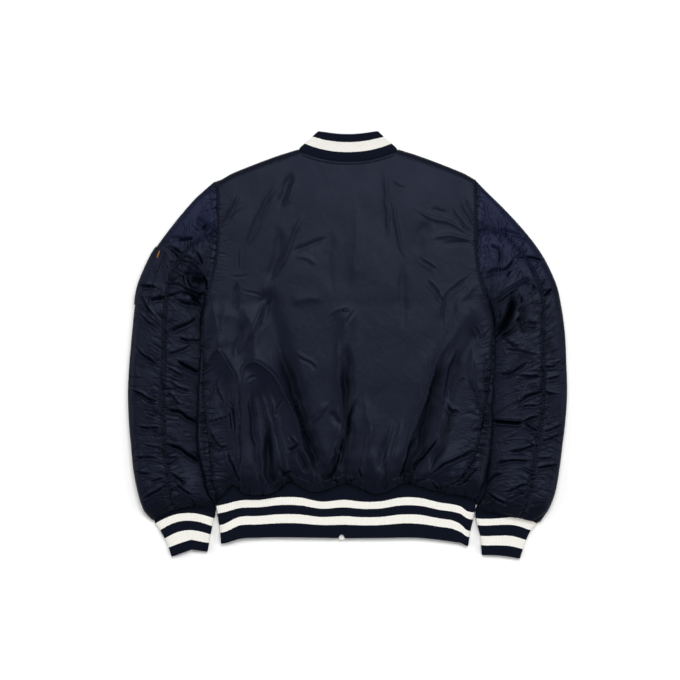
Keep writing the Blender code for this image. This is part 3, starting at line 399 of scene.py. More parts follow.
LEFT_SLEEVE_CREASES = drawn("""
valley 2.6 7  -259,215 -242,201 -229,191
crease 1.8 4  -269,205 -251,194 -232,206
ridge 1.8 5  -235,177 -234,140 -239,104
crease 3.4 4  -284,122 -263,120 -241,118
crease 2.8 3.5  -280,121 -277,107 -273,94
crease 2.4 3.5  -269,118 -269,107 -262,96 -247,92
valley 5 6  -268,109 -254,109 -239,106
valley 2.8 13  -250,132 -254,101 -261,66
valley 5 6  -242,92 -254,79 -271,72
valley 3 5  -264,138 -270,123 -268,104
crease 2.6 3.5  -290,177 -277,179 -260,178
crease 2.2 3.5  -298,165 -282,155 -273,151
crease 2 3.5  -304,162 -293,153 -280,143
crease 3 4  -260,160 -251,148 -243,133
crease 2.4 3.5  -273,150 -260,140 -246,131
crease 2.6 3.5  -290,143 -277,141 -256,130 -243,119
crease 2.2 3.5  -292,133 -282,135 -265,126 -247,119
crease 3.6 4  -246,120 -241,104 -241,88
crease 2.2 3.5  -307,102 -290,101 -275,95
crease 2.8 3.5  -284,100 -268,92 -256,87 -243,77
crease 2.4 3.5  -303,82 -290,87 -273,90
crease 3.8 4.5  -292,73 -275,70 -260,68 -246,61
ridge 2.4 4  -281,113 -277,105 -274,97
ridge 2.4 5  -257,108 -251,95 -243,82
crease 4 4.5  -288,83 -271,87 -258,76 -243,59
ridge 2 4  -306,70 -288,78 -270,77 -251,63
crease 2.6 4  -341,72 -314,80 -287,87
crease 2.4 4  -358,99 -340,98 -321,96
crease 1.8 3.5  -304,104 -290,111 -277,121
crease 1.8 3.5  -306,128 -286,138 -262,131 -243,127
crease 1.6 3.5  -312,142 -294,139 -272,148 -250,141
crease 3.2 4.5  -251,52 -269,36 -290,26 -309,21
crease 2.6 4.5  -290,12 -268,7 -246,6
crease 2.4 4  -264,-1 -286,-13 -310,-15
crease 2 4  -353,87 -337,57 -326,41
crease 1.8 3.5  -356,52 -337,38 -319,23
crease 2.4 4  -365,1 -341,-23 -320,-40
crease 1.6 3.5  -348,96 -339,97 -332,91
crease 1.8 4  -341,67 -322,79 -307,80
crease 2.4 4  -370,-74 -343,-90 -320,-100
crease 1.6 3.5  -365,-83 -341,-96 -322,-107
crease 2 4  -358,-141 -336,-142 -314,-142
crease 1.6 3.5  -346,-169 -334,-173 -322,-176
crease 2.2 4  -365,-190 -339,-192 -319,-195
crease 2 4  -363,-215 -346,-219 -329,-222
crease 1.8 3.5  -336,-234 -322,-229 -309,-226
crease 2.6 4.5  -349,-263 -326,-251 -315,-244 -305,-236
crease 1.4 3.5  -344,-117 -331,-120 -319,-120
crease 4.5 5.5  -292,-28 -271,-39 -249,-50
crease 1.8 3.5  -310,-37 -295,-45 -276,-56
crease 1.8 4  -305,-64 -285,-73 -264,-83
crease 2 4  -310,-78 -295,-91 -280,-107
crease 4 5  -310,-112 -286,-115 -271,-124 -249,-139
crease 4.6 5  -310,-166 -285,-178 -268,-188 -246,-202
crease 1.6 3.5  -307,-192 -288,-193
crease 2.4 4  -300,-217 -286,-226 -273,-239
crease 2.4 4  -293,-234 -278,-246 -261,-258
crease 2.2 4  -268,-260 -261,-270 -261,-282
valley 1.5 4.5  -307,177 -285,179 -261,179
crease 1.8 4  -307,167 -292,160 -280,150
ridge 1.6 6  -309,177 -305,143 -303,108
""")
RIGHT_SLEEVE_CREASES = drawn("""
valley 2 5  237,191 269,189 310,179
crease 3.2 4  286,143 298,147 315,146 339,141
crease 2.8 4.5  229,113 249,126 269,130 288,150
crease 1.8 4  225,152 234,164 246,165 258,159 254,128
ridge 4 4.5  240,74 269,92 288,104 301,109 309,104 315,93
crease 2.8 3.5  248,67 275,84 293,97
valley 8 9  277,87 279,67 270,41 254,21 243,7
crease 2 3.5  232,109 242,114 252,119
crease 2.8 3.5  269,113 274,121 283,123
crease 2.8 3.5  290,124 296,119 298,111
crease 2.6 3.5  308,104 317,95 320,86
crease 2.8 4  288,88 294,78 296,67
crease 2.4 4  286,53 286,34 274,22 254,12
crease 2.2 3.5  254,57 259,51 257,43
crease 1.8 4  300,32 312,28 323,27
crease 1.8 3.5  331,81 345,93
ridge 3.5 5  291,80 294,55 282,27 258,8
valley 3.5 8  297,69 295,45 302,14
crease 2.4 4  303,38 324,35
crease 2.2 4  261,12 276,1 293,-6
crease 2.4 4  268,-8 295,-11 326,-20
crease 2.2 5  247,-52 283,-47 309,-27
crease 2.2 4  286,-54 307,-54 329,-52
crease 2.6 4.5  278,-110 300,-91 327,-81 346,-84 371,-86
crease 1.8 4  290,-108 312,-103 331,-105
crease 5.5 5  241,-130 273,-132 302,-132
crease 2.6 4  295,-132 310,-127 327,-122
crease 2.6 4  295,-132 310,-142 327,-149
crease 2.4 4  271,-183 300,-178 322,-169
crease 2.6 4  247,-209 269,-197 315,-197
crease 2.6 5  232,-239 249,-222 266,-219
crease 2.8 4.5  232,-249 254,-263 276,-275
crease 2.4 4  264,-254 286,-244 314,-232
crease 2 4  269,-266 290,-254 305,-253
crease 1.8 4  329,79 349,96
crease 1.8 4  319,94 337,109
crease 1.8 4  329,-40 351,-37 363,-28
crease 1.6 3.5  337,-61 361,-52
crease 2 4  329,-147 346,-144 368,-135
crease 2 4  326,-164 346,-159 366,-149
crease 1.6 3.5  319,-193 348,-193
crease 2.2 4  317,-210 339,-207 361,-202
""")

# Creases of the hidden underside, where the cloth only lifts off the surface.
FRONT_CREASES = drawn("""
valley 2.6 9  -214,40 -176,-20 -158,-96 -150,-176
valley 2.2 7  -120,190 -96,120 -88,40
crease 2.4 5  -232,-60 -190,-92 -140,-104
crease 2.2 5  -206,-236 -180,-186 -176,-130
crease 2 5  -120,-262 -108,-214 -112,-160
valley 2.6 8  -60,-252 -66,-190 -52,-110 -58,-20
crease 1.8 4.5  -190,232 -150,186 -132,130
crease 1.8 4.5  -204,150 -168,120 -120,108
valley 2.2 7  -30,150 -44,60 -36,-40
valley 2.8 9  206,30 180,-40 150,-110 146,-200
valley 2.2 7  112,200 90,126 96,40
crease 2.4 5  228,-78 188,-100 132,-92
crease 2.2 5  196,-250 168,-196 172,-140
crease 2 5  104,-262 92,-204 104,-150
valley 2.4 8  44,-250 56,-180 34,-96 42,-10
crease 1.8 4.5  184,226 146,184 126,128
crease 1.8 4.5  206,140 160,112 116,116
""")
SLEEVE_UNDER_CREASES = drawn("""
crease 2.2 5  -356,60 -320,34 -276,40
crease 2.4 5  -362,-22 -322,-40 -262,-30
crease 2.2 5  -360,-96 -310,-112 -258,-96
valley 2.4 7  -300,150 -292,60 -304,-30
crease 2.2 5  -350,-176 -306,-182 -262,-168
crease 2.4 5  -336,-240 -298,-226 -256,-236
crease 1.8 4.5  -310,140 -278,120 -256,66
crease 2 5  356,50 318,40 272,22
crease 2.4 5  364,-40 316,-34 258,-52
crease 2.2 5  358,-118 306,-104 252,-120
valley 2.4 7  300,140 296,50 306,-40
crease 2.4 5  350,-186 300,-196 250,-184
crease 2.2 5  330,-250 290,-238 246,-252
crease 1.8 4.5  312,132 282,108 258,60
""")


# ---- curves and fields
def smooth(knots: Sequence[float], values: Sequence[float], at: Array) -> Array:
    """Cubic through a table's points, its slopes taken from their neighbours.

    Args:
        knots: The table's positions, rising or falling.
        values: Its values there.
        at: Where to read it; beyond its ends it stays level.

    Returns:
        The values there.
    """
    where, height = np.asarray(knots, float), np.asarray(values, float)
    if where[0] > where[-1]:
        where, height = where[::-1], height[::-1]
    at = np.clip(np.asarray(at, float), where[0], where[-1])
    slope = np.gradient(height, where)
    i = np.clip(np.searchsorted(where, at) - 1, 0, len(where) - 2)
    span = where[i + 1] - where[i]
    t = (at - where[i]) / span
    return ((1 + 2 * t) * (1 - t) ** 2 * height[i] + t * (1 - t) ** 2 * span * slope[i]
            + t ** 2 * (3 - 2 * t) * height[i + 1] + t ** 2 * (t - 1) * span * slope[i + 1])


def read(table: Sequence[Point], at: Array) -> Array:
    """A table of places and their values, read smoothly at other places."""
    return smooth([point[0] for point in table], [point[1] for point in table], at)


def table_column(rows: Sequence[NamedTuple], name: str, knots: Sequence[float], at: Array) -> Array:
    """One named column of a table of rows, read smoothly at the given places."""
    return smooth(knots, [getattr(row, name) for row in rows], at)


def step_up(value: Array, low: float, high: float) -> Array:
    """Smooth step from 0 at low to 1 at high: 3t squared less 2t cubed."""
    t = np.clip((value - low) / (high - low), 0, 1)
    return t * t * (3 - 2 * t)


def bell(value: Array, centre: float, spread: float) -> Array:
    """Bell of height 1: the exponential of minus the squared distance over the spread."""
    return np.exp(-((value - centre) / spread) ** 2)


def rounding(distance: Array, run: Array | float) -> Array:
    """Quarter-ellipse rise from 0 on a folded edge to 1 one run inside it."""
    share = np.clip(distance / run, 0, 1)
    return np.sqrt(1 - (1 - share) ** 2)


def walked(line: Array) -> Array:
    """Distance walked along a line of points, from 0 at its first one."""
    return np.concatenate([[0], np.cumsum(np.linalg.norm(np.diff(line, axis=0), axis=-1))])


def to_segment(x: Array, y: Array, start: Point, end: Point) -> tuple[Array, Array]:
    """Distances to a straight piece of path, by dropping a square line on it.

    Args:
        x, y: Places across and up.
        start: The piece's first point.
        end: Its last point.

    Returns:
        The distances, and how far along the piece they are met, from 0 to 1.
    """
    run, rise = end[0] - start[0], end[1] - start[1]
    share = np.clip(((x - start[0]) * run + (y - start[1]) * rise) / (run ** 2 + rise ** 2), 0, 1)
    return np.hypot(x - start[0] - share * run, y - start[1] - share * rise), share


def graded(length: float, step: float, fine: float, reach: float, ends: str = "both") -> Array:
    """Shares from 0 to 1, close together near the named ends and wider between them.

    The count of columns up to a place is the integral of one over the local spacing,
    and the shares are where that count takes whole steps.

    Args:
        length: Length that the shares divide.
        step: Spacing away from the ends.
        fine: Spacing at the ends.
        reach: Distance over which the spacing grows.
        ends: "both", "first", "last" or "none".

    Returns:
        The rising shares, from exactly 0 to exactly 1.
    """
    place = np.linspace(0, length, 4001)
    near = np.full(place.shape, length)
    if ends in ("both", "first"):
        near = np.minimum(near, place)
    if ends in ("both", "last"):
        near = np.minimum(near, length - place)
    spacing = fine + (step - fine) * step_up(near, 0, reach)
    if ends == "none":
        spacing = np.full(place.shape, step)
    count = np.concatenate([[0], np.cumsum(np.diff(place) / spacing[1:])])
    wanted = np.linspace(0, count[-1], int(np.ceil(count[-1])) + 1)
    return np.interp(wanted, count, place) / length


class Noise:
    """Smooth random field: gradient noise on a square lattice, from -1 to 1."""

    SIZE = 256

    def __init__(self, seed: int) -> None:
        """Draw the lattice's gradient directions."""
        angle = np.random.default_rng(seed).uniform(0, 2 * np.pi, (self.SIZE, self.SIZE))
        self.gradient_x, self.gradient_y = np.cos(angle), np.sin(angle)

    def at(self, x: Array, y: Array) -> Array:
        """The field, blended from the four nearest lattice points' gradients.

        Args:
            x, y: Places, in lattice cells.

        Returns:
            Its heights there.
        """
        x, y = np.broadcast_arrays(np.asarray(x, float), np.asarray(y, float))
        column, row = np.floor(x).astype(int), np.floor(y).astype(int)
        part_x, part_y = x - column, y - row
        ease_x, ease_y = (part ** 3 * (part * (part * 6 - 15) + 10) for part in (part_x, part_y))
        total = np.zeros(x.shape)
        for i in (0, 1):
            for j in (0, 1):
                at = ((column + i) % self.SIZE, (row + j) % self.SIZE)
                slope = self.gradient_x[at] * (part_x - i) + self.gradient_y[at] * (part_y - j)
                weight = (ease_x if i else 1 - ease_x) * (ease_y if j else 1 - ease_y)
                total += slope * weight
        return total * 1.5

    def crumple(self, x: Array, y: Array) -> Array:
        """Narrow valleys between rounded puffs: less than 0 where the field crosses zero."""
        field_here = np.abs(self.at(x, y))
        return -np.exp(-(field_here / 0.16) ** 2) + 0.55 * field_here


def curve_through(path: Sequence[Point], pieces: int = 7) -> Array:
    """Points of a smooth curve through a path's points, with so many pieces between two."""
    points = np.asarray(path, float)
    at = np.linspace(0, len(points) - 1, pieces * (len(points) - 1) + 1)
    knots = np.arange(len(points), dtype=float)
    return np.stack([smooth(knots, points[:, 0], at), smooth(knots, points[:, 1], at)], -1)


def across_profile(kind: Fold, share: Array) -> Array:
    """Height of a fold of height 1, at distances given in half widths.

    A ridge and a valley are bells. A crease is a narrow trough, which falls as the
    exponential of its distance, between two lips that stand a third as high.

    Args:
        kind: The fold's cross-section.
        share: Distances from its middle line, in half widths.

    Returns:
        The heights.
    """
    if kind is Fold.RIDGE:
        return np.exp(-1.2 * share ** 1.4)
    if kind is Fold.VALLEY:
        return -np.exp(-share ** 2)
    return -np.exp(-1.7 * share ** 1.2) + 0.40 * bell(share, 1.6, 0.8)


def fold_relief(creases: Sequence[Crease], x: Array, y: Array, drift: float,
                fade: float = 0.3, thin: float = 0.62) -> tuple[Array, Array]:
    """Sum of the creases' heights over a grid, and the painted shade inside them.

    Each place's distance to a crease's curve goes through the crease's profile. The
    height fades out at the curve's ends, and a slow random field varies it along the
    way, while the same field shifts the places a little so that no crease is ruled.

    Args:
        creases: The folds to add up.
        x, y: Places across and up.
        drift: How far they are shifted.
        fade: Share of a crease's length over which it fades at either end.
        thin: Share of its stated width that a crease keeps.

    Returns:
        The relief, and the painted shade from 0 to 1.
    """
    shift_x = x + drift * WOBBLE.at(x / 23, y / 23)
    shift_y = y + drift * WOBBLE.at(x / 23 + 40, y / 23 + 71)
    total, painted_shade = np.zeros(x.shape), np.zeros(x.shape)
    kept = {Fold.RIDGE: 0.62, Fold.VALLEY: 0.72, Fold.CREASE: thin}
    for number, item in enumerate(creases):
        curve = curve_through(item.path)
        low, high = curve.min(0) - 3.2 * item.width, curve.max(0) + 3.2 * item.width
        inside = ((shift_x > low[0]) & (shift_x < high[0])
                  & (shift_y > low[1]) & (shift_y < high[1]))
        px, py = shift_x[inside], shift_y[inside]
        if px.size == 0:
            continue
        nearest, along = np.full(px.size, np.inf), np.zeros(px.size)
        way = walked(curve)
        for start, end, before, after in zip(curve[:-1], curve[1:], way[:-1], way[1:]):
            gap, share = to_segment(px, py, start, end)
            closer = gap < nearest
            nearest[closer] = gap[closer]
            along[closer] = (before + share * (after - before))[closer]
        part = along / way[-1]
        taper = step_up(part, 0, fade) * step_up(1 - part, 0, fade)
        taper = taper * (0.95 + 0.22 * WOBBLE.at(along / 44 + 7.3 * number, 3.1 * number + px * 0))
        width = kept[item.kind] * item.width * (0.5 + 0.5 * taper)
        total[inside] += item.height * taper * across_profile(item.kind, nearest / width)
        # Painted shade: valleys and creases are darkened along their middle lines, where shade
        # falls.
        depth, spread = {Fold.RIDGE: (0.0, 1.0),
                         Fold.VALLEY: (np.clip(0.2 * item.height - 0.25, 0, 1), 0.9),
                         Fold.CREASE: (np.clip(0.3 * item.height, 0, 1), 0.5)}[item.kind]
        shade = depth * np.clip(taper, 0, 1) * bell(nearest, 0, spread * width)
        painted_shade[inside] = np.maximum(painted_shade[inside], shade)
    return total, painted_shade


def pucker(along: Array, away: Array, pitch: float, reach: float) -> Array:
    """Gathers at a sewn edge: uneven narrow folds that run away from it and die out.

    Args:
        along: Distance along the seam.
        away: Distance from it.
        pitch: Usual distance between two folds.
        reach: Distance at which they have faded to about a third.

    Returns:
        Heights of about -1 to 1.
    """
    away = np.maximum(away, 0)
    own_reach = reach * (1 + 0.75 * GATHER.at(along / (4.1 * pitch), 0 * away + 9.7))
    bent = along + 0.16 * away + 1.3 * GATHER.at(along / 31, away / 31 + 5)
    lines = GATHER.crumple(bent / (1.9 * pitch), away / (4.5 * pitch) + 31)
    return lines * np.exp(-(away / np.maximum(own_reach, 2.0)) ** 1.4)


WOBBLE, BILLOW, GATHER = Noise(11), Noise(23), Noise(37)


# ---- meshes
def grid_normals(grid: Array) -> Array:
    """Unit normals of a grid of points: the cross product of its row and column steps."""
    normal = np.cross(np.gradient(grid, axis=0), np.gradient(grid, axis=1))
    return normal / np.maximum(np.linalg.norm(normal, axis=-1, keepdims=True), 1e-9)


def grid_faces(index: Array, ring: bool = False) -> Array:
    """Four-sided faces of a grid of vertex numbers; a ring joins its last column to its first."""
    if ring:
        index = np.concatenate([index, index[:, :1]], axis=1)
    corners = (index[:-1, :-1], index[1:, :-1], index[1:, 1:], index[:-1, 1:])
    return np.stack(corners, -1).reshape(-1, 4)


def border_paths(rows: int, columns: int, ring: bool) -> list[Array]:
    """Places along a grid's open border, counted row by row: one loop, or a ring's two."""
    place = np.arange(rows * columns).reshape(rows, columns)
    if ring:
        return [place[0, ::-1], place[-1]]
    return [np.concatenate([place[:, 0], place[-1, 1:], place[-2::-1, -1], place[0, -2::-1]])]


def rim_faces(outer: Array, inner: Array, kept: Array, paths: Sequence[Array]) -> Array:
    """Triangles between an outer grid's border and the inner one's, which has fewer points.

    A border step makes one triangle with the inner point of the last kept place before
    it, and a second where that point changes.

    Args:
        outer: Numbers of the outer points.
        inner: Numbers of the inner points at the same places.
        kept: Which places have an inner point.
        paths: Places along the border.

    Returns:
        The triangles.
    """
    faces = []
    for path in paths:
        step = np.arange(path.size)
        last = path[np.maximum.accumulate(np.where(kept.ravel()[path], step, 0))]
        edge, lining = outer.ravel()[path], inner.ravel()[last]
        faces.append(np.stack([edge[:-1], lining[:-1], edge[1:]], -1))
        turn = lining[:-1] != lining[1:]
        faces.append(np.stack([edge[1:], lining[:-1], lining[1:]], -1)[turn])
    return np.concatenate(faces)


def every_other(count: int) -> Array:
    """Every second place of a row, always with the last one."""
    return np.unique(np.append(np.arange(0, count, 2), count - 1))


def lowest_near(outer: Array, inward: Array, ring: bool) -> Array:
    """How much lower, along the cloth's own normal, each point's lowest neighbour lies.

    Args:
        outer: The outer points, as a grid.
        inward: Unit directions into the cloth.
        ring: Whether the columns close into a tube.

    Returns:
        The depths, from 0 to 3 mm.
    """
    row, column = np.indices(outer.shape[:2])
    lower = np.zeros(outer.shape[:2])
    for down in (-1, 0, 1):
        for over in (-1, 0, 1):
            i = np.clip(row + down, 0, outer.shape[0] - 1)
            j = column + over
            j = j % outer.shape[1] if ring else np.clip(j, 0, outer.shape[1] - 1)
            lower = np.maximum(lower, ((outer[i, j] - outer) * inward).sum(axis=-1))
    return np.minimum(lower, 3.0)


def mesh_from(name: str, points: Array, *faces: Array) -> Mesh:
    """A smooth-shaded mesh.

    Args:
        name: The mesh's name.
        points: Its points.
        faces: Arrays of faces, each with faces of one size.

    Returns:
        The mesh, in metres.
    """
    mesh = bpy.data.meshes.new(name)
    mesh.vertices.add(len(points))
    mesh.vertices.foreach_set("co", (points * MM).astype(np.float32).ravel())
    corners = np.concatenate([part.ravel() for part in faces]).astype(np.int32)
    sizes = np.concatenate([np.full(len(part), part.shape[1]) for part in faces])
    mesh.loops.add(corners.size)
    mesh.loops.foreach_set("vertex_index", corners)
    mesh.polygons.add(sizes.size)
    starts = np.concatenate([[0], np.cumsum(sizes)[:-1]]).astype(np.int32)
    mesh.polygons.foreach_set("loop_start", starts)
    mesh.update(calc_edges=True)
    mesh.shade_smooth()
    return mesh


def outwards(points: Array, faces: Array) -> bool:
    """Whether a closed set of four-sided faces points outwards: its signed volume is over 0."""
    total = 0.0
    for corners in ((0, 1, 2), (0, 2, 3)):
        p, q, r = (points[faces[:, corner]] for corner in corners)
        total += float((p * np.cross(q, r)).sum())
    return total >= 0


def link(item: Piece, material: Optional[Material] = None) -> Piece:
    """Put an object in the scene, dressed in a material where one is given."""
    bpy.context.scene.collection.objects.link(item)
    if material is not None:
        item.data.materials.append(material)
    return item


def add_piece(name: str, mesh: Mesh, material: Material) -> Piece:
    """Link a mesh as a piece that rides on the jacket, dressed in one material."""
    item = link(bpy.data.objects.new(name, mesh), material)
    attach(item, JACKET)
    LOG.info("%s: %d faces", name, len(mesh.polygons))
    return item


def shell(name: str, outer: Array, inner: Array, cloth: Array, attributes: dict[str, Array],
          material: Material, ring: bool = False) -> Piece:
    """A closed thin shell between an outer and an inner grid of points.

    The inner face has every other row and column, and lies low enough to clear the
    outer face's creases between them.

    Args:
        name: The piece's name.
        outer: Outer points, rows by columns by 3.
        inner: Inner points, of the same shape.
        cloth: Cloth coordinates in metres; a ring has one more column of them.
        attributes: Values for each outer point and the inner one below it.
        material: Its finish.
        ring: Whether the columns close into a tube.

    Returns:
        The piece.
    """
    rows, columns = outer.shape[:2]
    inward = inner - outer
    inward = inward / np.maximum(np.linalg.norm(inward, axis=-1, keepdims=True), 1e-6)
    inner = inner + inward * lowest_near(outer, inward, ring)[..., None]
    inner[..., 2] = np.maximum(inner[..., 2], 0.3)
    points = np.concatenate([outer.reshape(-1, 3), inner.reshape(-1, 3)])
    index = np.arange(rows * columns).reshape(rows, columns)
    if ring:
        index = np.concatenate([index, index[:, :1]], axis=1)
    label = np.arange(index.size).reshape(index.shape)
    some = np.ix_(every_other(index.shape[0]), every_other(index.shape[1]))
    kept = np.zeros(index.shape, bool)
    kept[some] = True
    paths = border_paths(*index.shape, ring)
    quads, rims = [], []
    for grid, size in ((index, rows * columns), (label, label.size)):
        quads.append(np.concatenate([grid_faces(grid), grid_faces(grid[some] + size)[:, ::-1]]))
        rims.append(rim_faces(grid, grid + size, kept, paths))
    if not outwards(points, quads[0]):
        quads, rims = [part[:, ::-1] for part in quads], [part[:, ::-1] for part in rims]
    used, renumbered = np.unique(np.concatenate([quads[0].ravel(), rims[0].ravel()]),
                                 return_inverse=True)
    renumbered = renumbered.ravel()
    mesh = mesh_from(name, points[used], renumbered[:quads[0].size].reshape(-1, 4),
                     renumbered[quads[0].size:].reshape(-1, 3))
    for key, values in attributes.items():
        layer = mesh.attributes.new(key, "FLOAT", "POINT")
        layer.data.foreach_set("value", np.tile(values.ravel(), 2)[used].astype(np.float32))
    flat = np.tile(cloth.reshape(-1, 2), (2, 1))
    flat = flat[np.concatenate([quads[1].ravel(), rims[1].ravel()])]
    mesh.uv_layers.new(name="cloth").data.foreach_set("uv", flat.astype(np.float32).ravel())
    weld(mesh)
    mesh.set_sharp_from_angle(angle=np.radians(55))
    return add_piece(name, mesh, material)


def weld(mesh: Mesh) -> None:
    """Merge points that coincide, which closes collapsed faces."""
    shape = bmesh.new()
    shape.from_mesh(mesh)
    bmesh.ops.remove_doubles(shape, verts=shape.verts, dist=0.00001)
    shape.to_mesh(mesh)
    shape.free()


def line_inside(grid: Array, side: str, inset: float) -> Array:
    """The line that runs along one side of a grid at a fixed distance inside it.

    In each row it is read between the two points that the distance falls between.

    Args:
        grid: The points.
        side: "first" or "last" column, "top" or "bottom" row.
        inset: The distance.

    Returns:
        The line's points.
    """
    turned = {"first": grid, "last": grid[:, ::-1], "top": grid.transpose(1, 0, 2),
              "bottom": grid[::-1].transpose(1, 0, 2)}[side]
    steps = np.linalg.norm(np.diff(turned, axis=1), axis=-1)
    reach = np.concatenate([np.zeros((len(turned), 1)), np.cumsum(steps, axis=1)], axis=1)
    before = np.clip((reach < inset).sum(axis=1) - 1, 0, turned.shape[1] - 2)
    row = np.arange(len(turned))
    span = np.maximum(reach[row, before + 1] - reach[row, before], 1e-6)
    share = np.clip((inset - reach[row, before]) / span, 0, 1)[:, None]
    return turned[row, before] * (1 - share) + turned[row, before + 1] * share


# ---- materials
@dataclass(frozen=True)
class Finish:
    """Colour and surface of one material."""

    name: str
    colour: str
    second: str
    roughness: float
    specular: float
    sheen: float = 0.0
    metallic: float = 0.0
    gleam: str = "#FFFFFF"


# The nylons' second colours are a painted sheen, the bluer tone where the cloth faces the light;
# the sleeves' nylon is a little darker.
NYLON = Finish("satin_nylon", "#0D101B", "#121524", 0.42, 0.15, gleam="#B4BCE0")
SLEEVE_NYLON = Finish("sleeve_nylon", "#0B0E19", "#0F1327", 0.42, 0.17, gleam="#B4BCE0")
KNIT = Finish("striped_knit", "#0B101D", "#ECEAE3", 0.95, 0.06, 0.02)
# Painted shade: a copy of the knit whose white is painted darker, to hold back the extra light on
# the tilted collar.
COLLAR_KNIT_SHADED = Finish("collar_knit_shaded_copy", "#0B101D", "#DEDCD6", 0.95, 0.06, 0.02)
TAPE = Finish("zip_tape_cloth", "#0C0E17", "#10131E", 0.9, 0.15)
STITCH = Finish("stitch_thread", "#1A1D29", "#20232F", 0.6, 0.3)
SILVER = Finish("zip_metal", "#F2F2EE", "#DCDCD8", 0.45, 0.5, 0.0, 0.35)
ORANGE = Finish("orange_pull_tape", "#8A5A24", "#74491C", 0.75, 0.2)
FLOOR = Finish("studio_floor", "#FAFAFA", "#FAFAFA", 0.9, 0.0)

# Repeats of the cloths' patterns, in metres.
COURSE_PITCH, RUNG_PITCH = 0.0013, 0.0036
# The nylon's weave, per metre: a wave texture turns once over 2 pi.
WEAVE = (1100.0 / 6.2832, 260.0 / 6.2832)


def linear(colour: str) -> tuple[float, float, float, float]:
    """Linear RGBA of an sRGB hex colour."""
    parts = np.array([int(colour[i:i + 2], 16) for i in (1, 3, 5)]) / 255
    value = np.where(parts <= 0.04045, parts / 12.92, ((parts + 0.055) / 1.055) ** 2.4)
    return (*(float(part) for part in value), 1.0)


def add_node(tree: Tree, kind: str, inputs: Optional[dict] = None, **settings: object) -> Node:
    """Add a shader node.

    Args:
        tree: The material's nodes.
        kind: The node's type.
        inputs: For each input, an output to link or a plain value.
        settings: The node's own properties.

    Returns:
        The node.
    """
    node = tree.nodes.new(kind)
    for key, value in settings.items():
        setattr(node, key, value)
    for key, value in (inputs or {}).items():
        if isinstance(value, Socket):
            tree.links.new(value, node.inputs[key])
        else:
            node.inputs[key].default_value = value
    return node


def calc(tree: Tree, operation: str, *values: Socket | float) -> Socket:
    """The result of one sum on outputs or numbers."""
    node = add_node(tree, "ShaderNodeMath", dict(enumerate(values)), operation=operation)
    return node.outputs["Value"]


def remap(tree: Tree, value: Socket, taken: Point, given: Point = (0.0, 1.0),
          ease: str = "LINEAR") -> Socket:
    """A value moved from its own range to another, and held at that one's ends."""
    ends = {"From Min": taken[0], "From Max": taken[1], "To Min": given[0], "To Max": given[1]}
    node = add_node(tree, "ShaderNodeMapRange", {"Value": value, **ends}, interpolation_type=ease)
    return node.outputs["Result"]


def attribute(tree: Tree, name: str) -> Socket:
    """A value that the mesh carries at each of its points."""
    return add_node(tree, "ShaderNodeAttribute", attribute_name=name).outputs["Fac"]


def cloth_place(tree: Tree) -> Socket:
    """Where on its cloth a point lies, in metres across and along."""
    return add_node(tree, "ShaderNodeUVMap", uv_map="cloth").outputs["UV"]


def repeated(tree: Tree, place: Socket, repeats: Point) -> Socket:
    """Cloth coordinates multiplied by a number of pattern repeats per metre."""
    node = add_node(tree, "ShaderNodeVectorMath", {0: place, 1: (*repeats, 1.0)},
                    operation="MULTIPLY")
    return node.outputs["Vector"]


def noise(tree: Tree, place: Socket, repeats: Point, detail: float = 2.0, roughness: float = 0.5,
          distortion: float = 0.0) -> Node:
    """A cloudy pattern over the cloth, with so many clouds per metre across and along it."""
    return add_node(tree, "ShaderNodeTexNoise", {
        "Vector": repeated(tree, place, repeats), "Scale": 1.0, "Detail": detail,
        "Roughness": roughness, "Distortion": distortion})


def mixed(tree: Tree, share: Socket, finish: Finish) -> Socket:
    """A finish's two colours mixed by a share."""
    return add_node(tree, "ShaderNodeMix", {
        0: share, 6: linear(finish.colour), 7: linear(finish.second)},
        data_type="RGBA").outputs[2]


def dimmed(tree: Tree, colour: Socket, share: Socket) -> Socket:
    """A colour multiplied by a share."""
    return add_node(tree, "ShaderNodeVectorMath", {0: colour, "Scale": share},
                    operation="SCALE").outputs["Vector"]


def bump(tree: Tree, height: Socket, distance: float, strength: float,
         below: Optional[Socket] = None) -> Socket:
    """A bump of the given height in metres, stacked on another one where named."""
    inputs = {"Height": height, "Distance": distance, "Strength": strength}
    if below is not None:
        inputs["Normal"] = below
    return add_node(tree, "ShaderNodeBump", inputs).outputs["Normal"]


def new_material(finish: Finish) -> tuple[Material, Tree, Node]:
    """A Principled material with the finish's plain values set on its shader."""
    material = bpy.data.materials.new(finish.name)
    material.use_nodes = True
    shader = material.node_tree.nodes["Principled BSDF"]
    for key, value in (("Base Color", linear(finish.colour)), ("Roughness", finish.roughness),
                       ("Metallic", finish.metallic), ("Specular IOR Level", finish.specular),
                       ("Specular Tint", linear(finish.gleam)), ("Sheen Weight", finish.sheen),
                       ("Sheen Roughness", 0.5)):
        shader.inputs[key].default_value = value
    return material, material.node_tree, shader


def fine_creases(tree: Tree, cloth: Socket, repeats: Point, strength: str) -> Socket:
    """Depth of the finest creases: thin lines where a stretched noise is level.

    A second, slower noise lets them come and go, and the named attribute scales them.

    Args:
        tree: The material's nodes.
        cloth: Cloth coordinates.
        repeats: Creases per metre across and along.
        strength: The attribute.

    Returns:
        The depth, 0 to 1.
    """
    drift = noise(tree, cloth, (16.0, 16.0), 0.0).outputs["Color"]
    bent = add_node(tree, "ShaderNodeVectorMath", {0: drift, 1: (0.05, 0.05, 0.0), 2: cloth},
                    operation="MULTIPLY_ADD").outputs["Vector"]
    lines = noise(tree, bent, repeats, 0.5, distortion=0.15).outputs["Fac"]
    off = calc(tree, "ABSOLUTE", calc(tree, "SUBTRACT", lines, 0.5))
    line = remap(tree, off, (0.0, 0.08), (1.0, 0.0), "SMOOTHSTEP")
    fades = noise(tree, cloth, (40.0, 45.0)).outputs["Fac"]
    share = remap(tree, fades, (0.38, 0.62), ease="SMOOTHSTEP")
    return calc(tree, "MULTIPLY", calc(tree, "MULTIPLY", line, attribute(tree, strength)), share)


